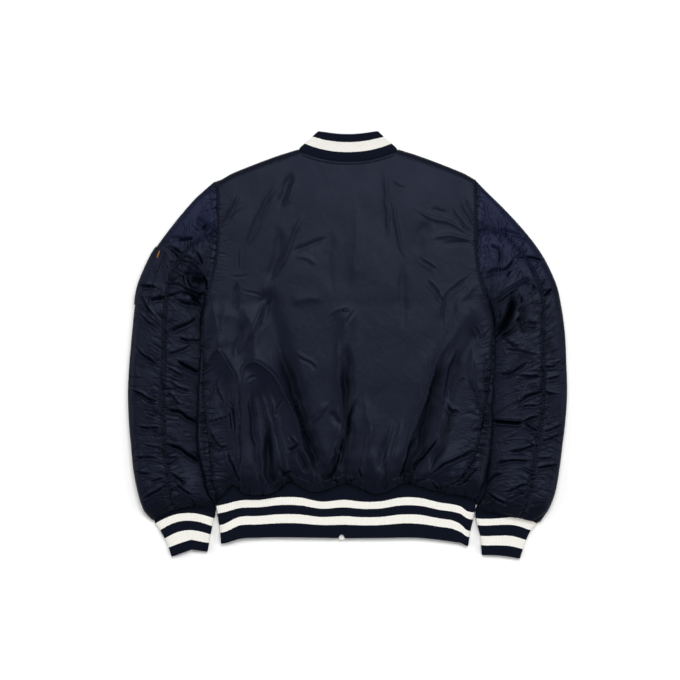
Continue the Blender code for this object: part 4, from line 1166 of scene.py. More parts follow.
def nylon_material(finish: Finish) -> Material:
    """Satin nylon shell cloth, woven with floating warps and softly crumpled.

    Base: near-black navy, streaked along the warp by a stretched noise; the "satin"
    attribute mixes in a painted sheen, the bluer tone of the cloth that faces the light.
    Painted shade darkens the colour and the reflection in the finest creases, where
    "crease" calls for it, and at a slanting view, where it shades the outline. Bumps:
    the finest creases where the "pull" attributes call for them, the puckers between two
    rows of stitches where "ladder" does, a crumple of about 14 mm, and the weave at 0.9 mm.

    Args:
        finish: Its colours and surface.

    Returns:
        The material.
    """
    material, tree, shader = new_material(finish)
    cloth = cloth_place(tree)
    streaks = noise(tree, cloth, (900.0, 30.0)).outputs["Fac"]
    patches = noise(tree, cloth, (18.0, 9.0)).outputs["Fac"]
    level = remap(tree, calc(tree, "ADD", streaks, patches), (0.7, 1.3), (0.86, 1.14))
    # Painted sheen: "satin" mixes in the finish's bluer second tone where the cloth faces the
    # light.
    tinted = dimmed(tree, mixed(tree, attribute(tree, "satin"), finish), level)
    lines = calc(tree, "MAXIMUM", fine_creases(tree, cloth, (14.0, 95.0), "pull_across"),
                 fine_creases(tree, cloth, (95.0, 16.0), "pull_along"))
    # Painted shade: the finest creases and "crease" darken the colour and the reflection, and so
    # does a slanting view at the outline.
    painted_shade = calc(tree, "MULTIPLY_ADD", lines, 0.55, attribute(tree, "crease"))
    facing = add_node(tree, "ShaderNodeLayerWeight", {"Blend": 0.5}).outputs["Facing"]
    lit = calc(tree, "MULTIPLY", remap(tree, painted_shade, (0.0, 1.0), (1.0, 0.04)),
               remap(tree, facing, (0.38, 0.85), (1.0, 0.1)))
    tree.links.new(dimmed(tree, tinted, lit), shader.inputs["Base Color"])
    tree.links.new(calc(tree, "MULTIPLY", lit, finish.specular),
                   shader.inputs["Specular IOR Level"])
    gloss = (finish.roughness - 0.03, finish.roughness + 0.05)
    tree.links.new(remap(tree, patches, (0.3, 0.7), gloss), shader.inputs["Roughness"])
    crumple = noise(tree, cloth, (70.0, 55.0), 3.0, 0.45, 0.6).outputs["Fac"]
    soft = bump(tree, lines, -0.0014, 1.0, bump(tree, crumple, 0.0008, 0.6))
    along = add_node(tree, "ShaderNodeSeparateXYZ", {"Vector": cloth}).outputs["Y"]
    rung = calc(tree, "SINE", calc(tree, "MULTIPLY", along, float(2 * np.pi / RUNG_PITCH)))
    rung = calc(tree, "MULTIPLY", rung, attribute(tree, "ladder"))
    soft = bump(tree, rung, 0.0005, 1.0, soft)
    weave = add_node(tree, "ShaderNodeTexWave", {
        "Vector": repeated(tree, cloth, WEAVE), "Scale": 1.0, "Distortion": 0.8, "Detail": 1.0},
        wave_type="BANDS", bands_direction="DIAGONAL").outputs["Fac"]
    tree.links.new(bump(tree, weave, 0.00004, 0.6, soft), shader.inputs["Normal"])
    return material


def knit_material(finish: Finish) -> Material:
    """Rib knit of navy yarn with two white stripes, knitted in one piece.

    The "band" attribute counts the stripes' edges: white between 1 and 2 and between 3
    and 4. A small noise along the courses frays those edges by about half a stitch. The
    bump draws V-shaped stitches, 1.3 mm tall, and the wales' grooves every 3 mm: the sine
    of a course's height, bent by how far a place lies from the nearest groove. Painted
    shade darkens the grooves a little, and the knit where "tuck" says that it turns in
    under the cloth's edge.

    Args:
        finish: Its two yarns and their surface.

    Returns:
        The material.
    """
    material, tree, shader = new_material(finish)
    cloth = cloth_place(tree)
    place = add_node(tree, "ShaderNodeSeparateXYZ", {"Vector": cloth}).outputs
    fray = noise(tree, cloth, (420.0, 60.0), 1.0).outputs["Fac"]
    jag = calc(tree, "MULTIPLY_ADD", fray, 0.09, attribute(tree, "band"))
    ramp = add_node(tree, "ShaderNodeValToRGB", {"Fac": calc(tree, "MULTIPLY", jag, 0.2)})
    stops = ramp.color_ramp
    stops.interpolation = "CONSTANT"
    stops.elements[0].color = stops.elements[1].color = linear(finish.colour)
    stops.elements[1].position = 0.409
    for position, colour in ((0.209, finish.second), (0.609, finish.second),
                             (0.809, finish.colour)):
        stops.elements.new(position).color = linear(colour)
    wale = calc(tree, "MULTIPLY", place["X"], float(np.pi / (WALE * MM)))
    groove = calc(tree, "ABSOLUTE", calc(tree, "SINE", wale))
    course = calc(tree, "MULTIPLY", place["Y"], float(2 * np.pi / COURSE_PITCH))
    stitch = calc(tree, "SINE", calc(tree, "MULTIPLY_ADD", groove, 2.4, course))
    height = calc(tree, "MULTIPLY_ADD", stitch, 0.28, groove)
    # Painted shade: the grooves and the part that "tuck" marks are darkened.
    shade = calc(tree, "SUBTRACT", remap(tree, height, (-0.1, 0.7), (0.84, 1.0)),
                 attribute(tree, "tuck"))
    tree.links.new(dimmed(tree, ramp.outputs["Color"], shade), shader.inputs["Base Color"])
    tree.links.new(bump(tree, height, 0.00035, 0.6), shader.inputs["Normal"])
    return material


def plain_material(finish: Finish, repeats: float, depth: float) -> Material:
    """Twill tape, moulded metal, thread or paper: mottled on object coordinates.

    Args:
        finish: Its two colours, which a noise mixes, and its surface.
        repeats: That noise's repeats per metre.
        depth: Height of its bump in metres, or 0 for none.

    Returns:
        The material.
    """
    material, tree, shader = new_material(finish)
    place = add_node(tree, "ShaderNodeTexCoord").outputs["Object"]
    grain = add_node(tree, "ShaderNodeTexNoise", {
        "Vector": place, "Scale": repeats, "Detail": 2.0}).outputs["Fac"]
    tree.links.new(mixed(tree, grain, finish), shader.inputs["Base Color"])
    if depth:
        tree.links.new(bump(tree, grain, depth, 0.6), shader.inputs["Normal"])
    return material


class Wardrobe:
    """The materials, made once."""

    def __init__(self) -> None:
        """Make each material from its finish."""
        self.nylon, self.sleeve = nylon_material(NYLON), nylon_material(SLEEVE_NYLON)
        self.knit, self.collar = knit_material(KNIT), knit_material(COLLAR_KNIT_SHADED)
        self.tape = plain_material(TAPE, 900.0, 0.0002)
        self.thread = plain_material(STITCH, 500.0, 0)
        self.metal = plain_material(SILVER, 60.0, 0)
        self.orange = plain_material(ORANGE, 1200.0, 0.0002)
        self.floor = plain_material(FLOOR, 3.0, 0)


# ---- shared body form
def broad_height(folds: Sequence[Crease], x: Array, y: Array) -> Array:
    """Sum of soft bells across the broad folds' paths, without fading at their ends.

    Args:
        folds: The folds.
        x, y: Places across and up.

    Returns:
        The heights.
    """
    total = np.zeros(np.broadcast(x, y).shape)
    for fold in folds:
        nearest = np.full(total.shape, np.inf)
        for start, end in zip(fold.path[:-1], fold.path[1:]):
            nearest = np.minimum(nearest, to_segment(x, y, start, end)[0])
        sign = 1 if fold.kind is Fold.RIDGE else -1
        total += sign * fold.height * bell(nearest, 0, fold.width)
    return total


def body_value(name: str, row_y: Array) -> Array:
    """One named value of the body's table at the given rows."""
    return table_column(BODY_ROWS, name, [row.y for row in BODY_ROWS], row_y)


def zip_lift(x: Array) -> Array:
    """The fronts' edges stand off the surface over the zip, by a smooth step down."""
    share = (np.abs(x - ZIP_X) - FRONT_EDGE) / ZIP_LIFT_WIDTH
    return ZIP_LIFT * (1 - step_up(share, 0, 1))


def shoulder_gap(x: Array, y: Array) -> Array:
    """Distance to the shoulder's fold, which ends at the neck point."""
    across = np.abs(x - NECK_X)
    below = 0.94 * np.clip(read(SHOULDER_LINE, across) - y, 0, None)
    return np.hypot(np.clip(NECK_HALF_WIDTH - across, 0, None), below)


def hem_line(x: Array, upper: Array | bool) -> Array:
    """The hem seam's y: a shallow arch, lifted on the upper face by the cloth that blouses."""
    arch = HEM_Y + HEM_MIDDLE_RISE * (1 - np.clip(np.abs(x) / HEM_HALF_WIDTH, 0, 1) ** 3)
    near_side = step_up(226 - np.abs(x + 2), 0, 8)
    return arch + np.where(upper, read(HEM_WAVES, x) * near_side, 0)


def neckline(share: Array, front: bool) -> Array:
    """The neckline's y: a power curve from its middle, share 0, up to the neck point, share 1."""
    low, power = (FRONT_NECK_Y, 1.7) if front else (BACK_NECK_Y, 2.2)
    return low + (NECK_POINT_Y - low) * share ** power


def top_line(x: Array, front: bool) -> Array:
    """The y of a panel's upper edge: the neckline between the neck points, else the shoulder."""
    across = np.abs(x - NECK_X)
    neck = neckline(np.clip(across / NECK_HALF_WIDTH, 0, 1), front)
    return np.where(across < NECK_HALF_WIDTH, neck, read(SHOULDER_LINE, across))


def body_form(row_y: Array, x: Array, upper: Array | bool, front: bool) -> Array:
    """Outer points of the body before its creases.

    A row follows the shoulders at the top and the hem at the bottom, by a share of
    their curves that dies out towards the middle. Its height runs from the side fold up
    to the loft, or down to the surface, as a quarter ellipse.

    Args:
        row_y: The rows' own y.
        x: Places across.
        upper: Whether a point is on the face that shows.
        front: Whether the neckline is the front's.

    Returns:
        The points.
    """
    left, right = body_value("left", row_y), body_value("right", row_y)
    top_share = np.clip((row_y - UNDERARM_Y) / (SHOULDER_Y - UNDERARM_Y), 0, 1) ** 1.5
    hem_share = np.clip((-60 - row_y) / (-60 - HEM_Y), 0, 1) ** 1.5
    wave_share = np.clip((-150 - row_y) / (-150 - HEM_Y), 0, 1) ** 2.5
    arch = hem_line(x, False)
    y = (row_y + (top_line(x, front) - SHOULDER_Y) * top_share + (arch - HEM_Y) * hem_share
         + (hem_line(x, upper) - arch) * wave_share)
    side = np.hypot(np.minimum(x - left, right - x), np.clip(row_y - UNDERARM_Y, 0, None))
    run = np.where(upper, SIDE_RUN_TOP, SIDE_RUN_UNDER)
    rise = rounding(side, run) * rounding(shoulder_gap(x, y), SHOULDER_RUN)
    fold = body_value("fold", row_y)
    top = body_value("loft", row_y) + broad_height(BACK_FOLDS, x, y)
    z = fold + (np.where(upper, top, zip_lift(x)) - fold) * rise
    return np.stack(np.broadcast_arrays(x, y, z), -1)


def raised(form: Array, normal: Array, relief: Array, lowest: Array | float = 0.0) -> Array:
    """A form with its relief added along the normals, and kept above a lowest height."""
    outer = form + normal * relief[..., None]
    outer[..., 2] = np.maximum(outer[..., 2], lowest)
    return outer


def seam_shade(edge: Array, depth: float = 0.6) -> Array:
    """Painted shade where the cloth turns in at a sewn edge."""
    return depth * bell(edge, 0, 1.2)


def ladder(to_seam: Array) -> Array:
    """Strength of the puckers between the rows of stitches beside a seam."""
    return bell(to_seam, 3.2, 1.9)


def puff(edge: Array, height: float = 0.9) -> Array:
    """Cloth that swells beside a sewn edge: 0 on it, near its height after 4 mm."""
    return height * (1 - bell(edge, 0, 2.2))


def hem_ease(to_hem: Array) -> Array:
    """How much lower the cloth lies above the hem than its solid, with the topstitched groove.

    With u the distance over 14 mm, it lies 10 mm times (u times e to the 1 - u) to the 1.3
    lower: nothing on the hem itself, most at 14 mm, a third of that at 40 mm.
    """
    share = np.maximum(to_hem, 0) / 14
    return 10 * (share * np.exp(1 - share)) ** 1.3 + 0.8 * bell(to_hem, 5.2, 1.0)


def pulls(to_side: Array, to_end: Array, loose: float) -> dict[str, Array]:
    """Strength of the cloth's finest creases: those across it and those along it.

    The first die out away from the seams at its sides and the second away from those at
    its ends, down to a loose share in the middle.

    Args:
        to_side: Distance to the nearest seam beside the cloth.
        to_end: Distance to the nearest seam at its ends.
        loose: The share that stays in the middle.

    Returns:
        The two attributes.
    """
    across, along = np.maximum(to_side, 0) / 17, np.maximum(to_end, 0) / 15
    return {"pull_across": loose + (1 - loose) * np.exp(-across ** 1.5),
            "pull_along": 0.6 * loose + (1 - 0.6 * loose) * np.exp(-along ** 1.5)}


def billow(x: Array, y: Array, height: float) -> Array:
    """Slow unevenness of cloth that lies loosely."""
    return height * (BILLOW.at(x / 74, y / 74) + 0.55 * BILLOW.at(x / 37 + 9, y / 46 + 3))


def upper_relief(x: Array, y: Array, edge: Array) -> tuple[Array, Array]:
    """Creases and unevenness of the body's upper face, which die out at its sewn edges.

    Args:
        x, y: Places across and up.
        edge: Distances to the nearest sewn edge.

    Returns:
        The relief, and the creases' painted shade from 0 to 1.
    """
    folds, painted_shade = fold_relief(BACK_CREASES, x, y, BODY_DRIFT)
    keep = step_up(edge, 0, 4)
    loose = step_up(-y, -30, 60)
    return (puff(edge) + keep * ((1 + 0.45 * loose) * folds + billow(x, y, 0.6)),
            (0.45 + 0.4 * loose) * keep * painted_shade)


def side_gathers(row_y: Array, along: Array, gap: Array, on_left: bool) -> Array:
    """Gathers of a side seam: strongest above the rib, and light at the armhole.

    Args:
        row_y: The rows' own y.
        along: Distance along the seam.
        gap: Distance from it.
        on_left: Whether it is the left seam, which is drawn tighter.

    Returns:
        Their heights.
    """
    low = step_up(-row_y, 60, 130) if on_left else step_up(-row_y, -30, 40)
    strength = 0.4 + 1.9 * low * (row_y < UNDERARM_Y)
    spot = 11.0 if on_left else 57.0
    return strength * step_up(gap, 0, 2.2) * pucker(along + 17 * spot, gap, 7.5, 8 + 9 * low)


def hem_gathers(x: Array, to_hem: Array) -> Array:
    """Gathers of the cloth that is drawn in by the hem's rib."""
    return 2.4 * step_up(to_hem, 0, 8) * pucker(x, to_hem, 10.5, 19)


@dataclass
class Body:
    """The back and the two fronts, which share their rows of points."""

    wardrobe: Wardrobe
    rows: Array = field(init=False)
    pieces: dict[str, Piece] = field(default_factory=dict)
    outer: Optional[Array] = None

    def __post_init__(self) -> None:
        """Lay out the rows, closer together at the shoulders and at the hem."""
        shares = graded(SHOULDER_Y - HEM_Y, 2.2, 1.3, 24)
        self.rows = (SHOULDER_Y + (HEM_Y - SHOULDER_Y) * shares)[:, None]

    def build(self) -> None:
        """Make all three panels."""
        self.back()
        self.front("left")
        self.front("right")

    def back(self) -> None:
        """The back: one panel between the side seams, creased along the listed folds.

        Its columns are even between the neck points and closer at the side seams. Beside
        the neck's edge a folded band stands up, with a groove below it.
        """
        rows = self.rows
        start = body_value("left", rows) + body_value("left_seam", rows)
        end = body_value("right", rows) - body_value("right_seam", rows)
        near, far = ((NECK_X + way * NECK_HALF_WIDTH - start[0, 0]) / (end - start)[0, 0]
                     for way in (-1, 1))
        spacing = (1.75, 1.3, 26)
        across = np.concatenate([near * graded(142, *spacing, "first"),
                                 near + (far - near) * graded(172, *spacing, "none")[1:],
                                 far + (1 - far) * graded(132, *spacing, "last")[1:]])
        x = start + (end - start) * across[None, :]
        form = body_form(rows, x, True, False)
        y = form[..., 1]
        row_y = np.broadcast_to(rows, x.shape)
        to_left, to_right = x - start, end - x
        to_hem, to_top = y - hem_line(x, True), top_line(x, False) - y
        side = np.minimum(to_left, to_right)
        edge = np.minimum(side, np.minimum(to_hem, to_top))
        relief, painted_shade = upper_relief(x, y, edge)
        relief += np.where(to_left < to_right, side_gathers(row_y, y, to_left, True),
                           side_gathers(row_y, y, to_right, False))
        relief += hem_gathers(x, to_hem)
        relief -= hem_ease(to_hem)
        in_neck = step_up(NECK_HALF_WIDTH - np.abs(x - NECK_X), 0, 12)
        relief += 0.4 * step_up(to_top, 0, 2) * pucker(x + 400, to_top, 6.5, 8)
        band = 1 - step_up(to_top, 5.6, 7.0)
        relief += in_neck * (0.75 * band * step_up(to_top, 0, 1.5) - 0.5 * bell(to_top, 6.8, 0.9))
        normal = grid_normals(form)
        self.outer = raised(form, normal, relief)
        fine = pulls(side, to_hem, BODY_LOOSE)
        fine["pull_across"] = fine["pull_across"] * (0.3 + 0.7 * step_up(-y, -60, 40))
        # Painted shade: "crease" darkens the creases and the sewn edges.
        attributes = {"satin": np.zeros(x.shape), "crease": np.maximum(painted_shade, seam_shade(edge)),
                      "ladder": ladder(side), **fine}
        self.pieces["back"] = shell("back_cloth", self.outer, self.outer - normal * CLOTH,
                                    np.stack([x, y], -1) * MM, attributes, self.wardrobe.nylon)

    def front(self, side: str) -> None:
        """A front: flat on the surface from the zip to the side fold, then round to the seam.

        A place's path is its distance inside the side fold underneath, and less than 0
        on the strip above. Underneath, the relief only lifts the cloth off the surface.

        Args:
            side: "left" or "right".
        """
        rows, is_left = self.rows, side == "left"
        sign = 1 if is_left else -1
        edge_x = body_value(side, rows)
        seam = body_value(f"{side}_seam", rows)
        reach = ZIP_X - FRONT_EDGE - edge_x if is_left else edge_x - ZIP_X - FRONT_EDGE
        neck = abs(NECK_X - sign * NECK_HALF_WIDTH - edge_x[0, 0]) / reach[0, 0]
        inner_part = (1 - neck) * graded(70, 3.0, 1.6, 14, "first")
        under = np.concatenate([1 - inner_part, neck * (1 - graded(142, 3.2, 1.5, 34, "last"))[1:]])
        wrap = graded(24 if is_left else 58, 2.2, 0.9, 16, "both")[1:]
        path = np.concatenate([reach * under[None, :], -seam * wrap[None, :]], axis=1)
        x = edge_x + np.abs(path) * sign
        upper = path < 0
        form = body_form(rows, x, upper, True)
        y = form[..., 1]
        row_y = np.broadcast_to(rows, x.shape)
        to_seam, to_zip = path + seam, reach - path
        to_hem, to_top = y - hem_line(x, upper), top_line(x, True) - y
        edge = np.minimum(np.minimum(to_hem, to_top), np.minimum(to_seam, to_zip))
        off_fold = np.where(seam > 14, 1, step_up(np.abs(path), 0, 12))
        above, painted_shade = upper_relief(x, y, edge)
        above = above * off_fold
        above += side_gathers(row_y, y, to_seam, is_left)
        above += hem_gathers(x, to_hem)
        above -= hem_ease(to_hem) * off_fold
        folds, hidden_painted_shade = fold_relief(FRONT_CREASES, x, y, BODY_DRIFT)
        below = step_up(edge, 0, 10) * (folds + billow(x, y + 300, 1.0))
        below += -0.45 * bell(to_zip, 7, 0.9)
        below += pucker(x + 700, to_hem, 10.5, 15) * step_up(to_hem, 0, 2.5)
        normal = grid_normals(form) * sign
        outer = raised(form, normal, np.where(upper, above, np.minimum(below, 0)))
        # Painted shade in the creases, above and below, and at the sewn edges, carried by "crease".
        shade = np.maximum(np.where(upper, painted_shade, hidden_painted_shade), seam_shade(edge))
        attributes = {"satin": np.zeros(x.shape), "crease": shade,
                      **pulls(to_seam, to_hem, BODY_LOOSE)}
        self.pieces[f"front_{side}"] = shell(
            f"front_{side}_cloth", outer, outer - normal * CLOTH, np.stack([path, y], -1) * MM,
            attributes, self.wardrobe.nylon)

    def stitch(self) -> Piece:
        """Topstitching beside the back's side seams, its upper edge and its hem."""
        insets = {"first": 3.2, "last": 3.2, "top": 6.4, "bottom": 3.0}
        lines = [line_inside(self.outer, side, inset) for side, inset in insets.items()]
        return stitches("body_stitches", lines, self.wardrobe.thread)


# ---- sleeves
@dataclass
class Sleeve:
    """A sleeve of two panels: the outer one round its outer fold, the under one within."""

    side: str
    stations: Sequence[Station]
    creases: Sequence[Crease]
    wardrobe: Wardrobe
    sign: int = field(init=False)
    fine: Array = field(init=False)
    distance: Array = field(init=False)
    pieces: dict[str, Piece] = field(default_factory=dict)
    outer: dict[str, Array] = field(default_factory=dict)

    def __post_init__(self) -> None:
        """Measure the sleeve along its back seam, to space its rows evenly."""
        self.sign = 1 if self.side == "left" else -1
        self.fine = np.linspace(0, len(self.stations) - 1, 801)
        seam = self.value("seam", self.fine)[:, None]
        self.distance = walked(self.form(self.fine[:, None], seam, True)[:, 0])

    def value(self, name: str, station: Array) -> Array:
        """One named value of the sleeve's table at a place counted in stations."""
        return table_column(self.stations, name, np.arange(len(self.stations)), station)

    def width(self, station: Array) -> Array:
        """The flattened sleeve's width."""
        return np.hypot(self.value("inner_x", station) - self.value("outer_x", station),
                        self.value("inner_y", station) - self.value("outer_y", station))

    def along(self, station: Array) -> Array:
        """Distance down the seam at a place counted in stations."""
        return np.interp(station, self.fine, self.distance)

    def form(self, station: Array, share: Array, upper: Array | bool) -> Array:
        """Outer points before the creases.

        Each cross-line rises from its outer fold as a quarter ellipse and sinks in a
        longer one towards the body. Over the first station the points blend, by a
        smooth step, out of the armhole's own edge. The inner fold is drawn 6 mm under
        the body, except at the sleeve's two ends.

        Args:
            station: Places along the sleeve, counted in stations.
            share: Shares of the width, 0 at the outer fold and 1 at the inner one.
            upper: Whether they are on the face that shows.

        Returns:
            The points.
        """
        outer_x, outer_y = self.value("outer_x", station), self.value("outer_y", station)
        under_body = 6.0 * self.sign * step_up(station, 0.1, 1.3) * step_up(16.4 - station, 0, 1.2)
        run_x = self.value("inner_x", station) + under_body - outer_x
        run_y = self.value("inner_y", station) - outer_y
        width = np.hypot(run_x, run_y)
        x = outer_x + run_x * share
        y = outer_y + run_y * share + self.value("bow", station) * 4 * share * (1 - share)
        inner_run = np.where(upper, SLEEVE_RUN_INNER, SLEEVE_RUN_FOOT)
        rise = rounding(share * width, SLEEVE_RUN_OUTER) * rounding((1 - share) * width, inner_run)
        loft = self.value("loft", station)
        base = loft / 2 * (1 - share) + self.value("foot", station) * share
        z = base + (np.where(upper, loft, self.value("lift", station)) - base) * rise
        points = np.stack(np.broadcast_arrays(x, y, z), -1)
        row_y = SHOULDER_Y + (UNDERARM_Y - SHOULDER_Y) * np.broadcast_to(share, x.shape)
        armhole = body_form(row_y, body_value(self.side, row_y), upper, True)
        blend = step_up(np.broadcast_to(station, x.shape), 0, 1)[..., None]
        return armhole * (1 - blend) + points * blend

    def relief(self, form: Array, station: Array, share: Array,
               upper: Array) -> tuple[Array, dict[str, Array]]:
        """Creases, seam gathers and unevenness over the form.

        Args:
            form: The points.
            station, share, upper: As for the form.

        Returns:
            The relief, and the cloth's attributes.
        """
        x, y = form[..., 0], form[..., 1]
        width, along = self.width(station), self.along(station)
        to_seam = np.abs(share - self.value("seam", station)) * width + 0 * x
        to_cuff = self.distance[-1] - along
        end = np.minimum(along, to_cuff) + 0 * x
        edge = np.minimum(to_seam, end)
        spread = 0.0 if self.side == "left" else 500.0
        gathers = 1.35 * step_up(to_seam, 0, 1.8) * pucker(along + spread, to_seam, 7.0, 13)
        at_armhole = 0.5 * step_up(along, 0, 2) * pucker(share * 208 + 90 + spread, along, 6.5, 9)
        at_cuff = 1.4 * step_up(to_cuff, 0, 2.5) * pucker(
            share * width + 260 + spread, to_cuff, 9.0, 17)
        folds, painted_shade = fold_relief(self.creases, x, y, SLEEVE_DRIFT, 0.26, 0.52)
        loose = billow(x, y + 150, 1.1)
        keep = step_up(edge, 0, 5) * step_up(share * width, 0, 9)
        inside = (1 - share) * width
        above = puff(edge) + gathers + at_armhole + at_cuff + keep * (1.25 * folds + loose)
        above = np.where(above > 0, above * (0.2 + 0.8 * step_up(inside, 0, 16)), above)
        hidden, hidden_painted_shade = fold_relief(SLEEVE_UNDER_CREASES, x, y, SLEEVE_DRIFT)
        below = np.minimum(keep * (hidden + loose) + gathers + at_armhole + at_cuff, 0)
        # Painted shade in the creases and at the sewn edges, and a painted shadow along the inner
        # fold, where the sleeve lies beside the body.
        painted_shade = np.maximum(keep * np.where(upper, painted_shade, hidden_painted_shade), seam_shade(edge, 0.4))
        painted_shade = np.maximum(painted_shade, 0.42 * bell(inside, 0, 17) * upper)
        # Painted sheen: "satin" marks where the upper sleeve faces the light, for its bluer tone.
        satin = step_up(y, 60, 185)
        if self.side == "left":
            satin = np.maximum(step_up(y, 140, 215), bell(inside, 0, 13) * step_up(y, 92, 128))
        return np.where(upper, above, below), {
            "satin": satin, "crease": painted_shade, **pulls(to_seam, end, SLEEVE_LOOSE),
            "ladder": ladder(to_seam)}

    def points(self, station: Array, share: Array, upper: Array) -> tuple[Array, ...]:
        """Outer points with their creases, the outward normals and the attributes."""
        form = self.form(station, share, upper)
        normal = grid_normals(form) * self.sign
        relief, attributes = self.relief(form, station, share, upper)
        floor = np.broadcast_to(self.value("lift", station), share.shape)
        lowest = np.where(upper, np.minimum(floor + 4.2, form[..., 2]), 0)
        return raised(form, normal, relief, lowest), normal, attributes

    def panel(self, name: str, station: Array, share: Array, upper: Array,
              around: Array) -> None:
        """Make one panel from its places on the sleeve.

        Args:
            name: "outer" or "under".
            station, share, upper: As for the form.
            around: Distance round the sleeve.
        """
        outer, normal, attributes = self.points(station, share, upper)
        cloth = np.stack([around, -(self.along(station) + 0 * share)], -1) * MM
        self.outer[name] = outer
        self.pieces[name] = shell(
            f"sleeve_{self.side}_{name}_cloth", outer, outer - normal * CLOTH, cloth,
            attributes, self.wardrobe.sleeve)

    def build(self) -> None:
        """Make both panels, each a turn round a fold: the outer fold at 0, the inner one at 1."""
        shares = graded(self.distance[-1], 1.15, 0.9, 14)
        station = np.interp(shares * self.distance[-1], self.distance, self.fine)[:, None]
        seam, width = self.value("seam", station), self.width(station)
        half = graded(52, 2.2, 0.9, 12)
        turn = np.concatenate([-half[::-1], half[1:]])[None, :]
        share = seam * np.abs(turn)
        self.panel("outer", station, share, np.broadcast_to(turn > 0, share.shape),
                   share * width * np.sign(turn))
        turn = np.concatenate([graded(78, 2.0, 1.0, 12), 1 + graded(78, 4.4, 1.6, 12)[1:]])[None, :]
        share = seam + (1 - seam) * (1 - np.abs(1 - turn))
        self.panel("under", station, share, np.broadcast_to(turn <= 1, share.shape),
                   (1 - seam) * width * turn)

    def stitch(self) -> Piece:
        """Two rows of topstitching on the outer panel, beside the seam that shows."""
        lines = [line_inside(self.outer["outer"], "last", inset) for inset in (2.6, 7.4)]
        return stitches(f"sleeve_{self.side}_stitches", lines, self.wardrobe.thread)


# ---- ribs
@dataclass(frozen=True)
class Knit:
    """How a rib is knitted and finished at its two long edges; lengths in millimetres."""

    wale: float         # height of a wale
    sunk: float         # how far the sewn edge sinks in
    sink: Point         # depths between which the knit comes up again
    thin: float         # how far the free edge is thinned
    round_off: float    # distance over which it is rounded
    taper: float        # how much of the thinning the inner face takes back
    wall: float         # thickness
    uneven: float       # height of its slow unevenness
    close: float        # how many times closer those waves lie than the body's
    settled: float      # depth from which they are full

    def relief(self, around: Array, depth: Array, to_edge: Array, place: tuple[Array, Array],
               upper: Array) -> tuple[Array, Array]:
        """Wales, sewn edge, free edge and slow unevenness.

        A wale is the sine of the way around without its sign, which gives rounded ribs
        with sharp grooves between them, one every WALE.

        Args:
            around: Distance round the rib.
            depth: Distance from its sewn edge.
            to_edge: Distance to its free edge.
            place: The points' x and y.
            upper: Whether they are on the face that shows.

        Returns:
            The relief, and how far the free edge is thinned.
        """
        full = np.ones(around.shape)
        sunk = -self.sunk * (1 - step_up(depth, *self.sink)) * full
        thin = self.thin * (1 - rounding(to_edge, self.round_off)) * full
        wales = self.wale * (np.abs(np.sin(np.pi * around / WALE)) - 0.64)
        waves = np.where(upper, billow(place[0] * self.close, place[1] * self.close, 1.0), 0)
        relief = wales * step_up(depth, 0, 4) + sunk - thin
        return relief + self.uneven * waves * step_up(depth, 2, self.settled), thin

    def lining(self, outer: Array, normal: Array, thin: Array) -> Array:
        """Inner points: one wall below the outer ones, and less where the edge is thinned."""
        return outer - normal * (self.wall - thin * self.taper)[..., None]


HEM_MAKE = Knit(0.36, 1.7, (0.3, 7), 0.9, 2.2, 1.6, RIB, 0.5, 1.0, 14)
CUFF_MAKE = Knit(0.36, 1.9, (0.2, 6), 0.9, 2.2, 1.6, RIB, 0.45, 1.6, 12)
COLLAR_MAKE = Knit(0.34, 1.8, (0.2, 6), 1.2, 2.6, 1.7, COLLAR_RIB, 0.5, 1.4, 12)


def tube_form(x: Array, y: Array, fold: Array | float, loft: Array | float, lift: Array | float,
              distance: Array, run: float, upper: Array) -> Array:
    """Outer points of a flattened tube that folds at its two sides as quarter ellipses."""
    z = fold + (np.where(upper, loft, lift) - fold) * rounding(distance, run)
    return np.stack(np.broadcast_arrays(x, y, z), -1)


def stripe_band(share: Array, edges: Sequence[float]) -> Array:
    """Counts a rib's stripe edges: 1 to 4 at the four given shares, 0 and 5 at its ends."""
    return np.interp(share, [0.0, *edges, 1.0], [0.0, 1.0, 2.0, 3.0, 4.0, 5.0])


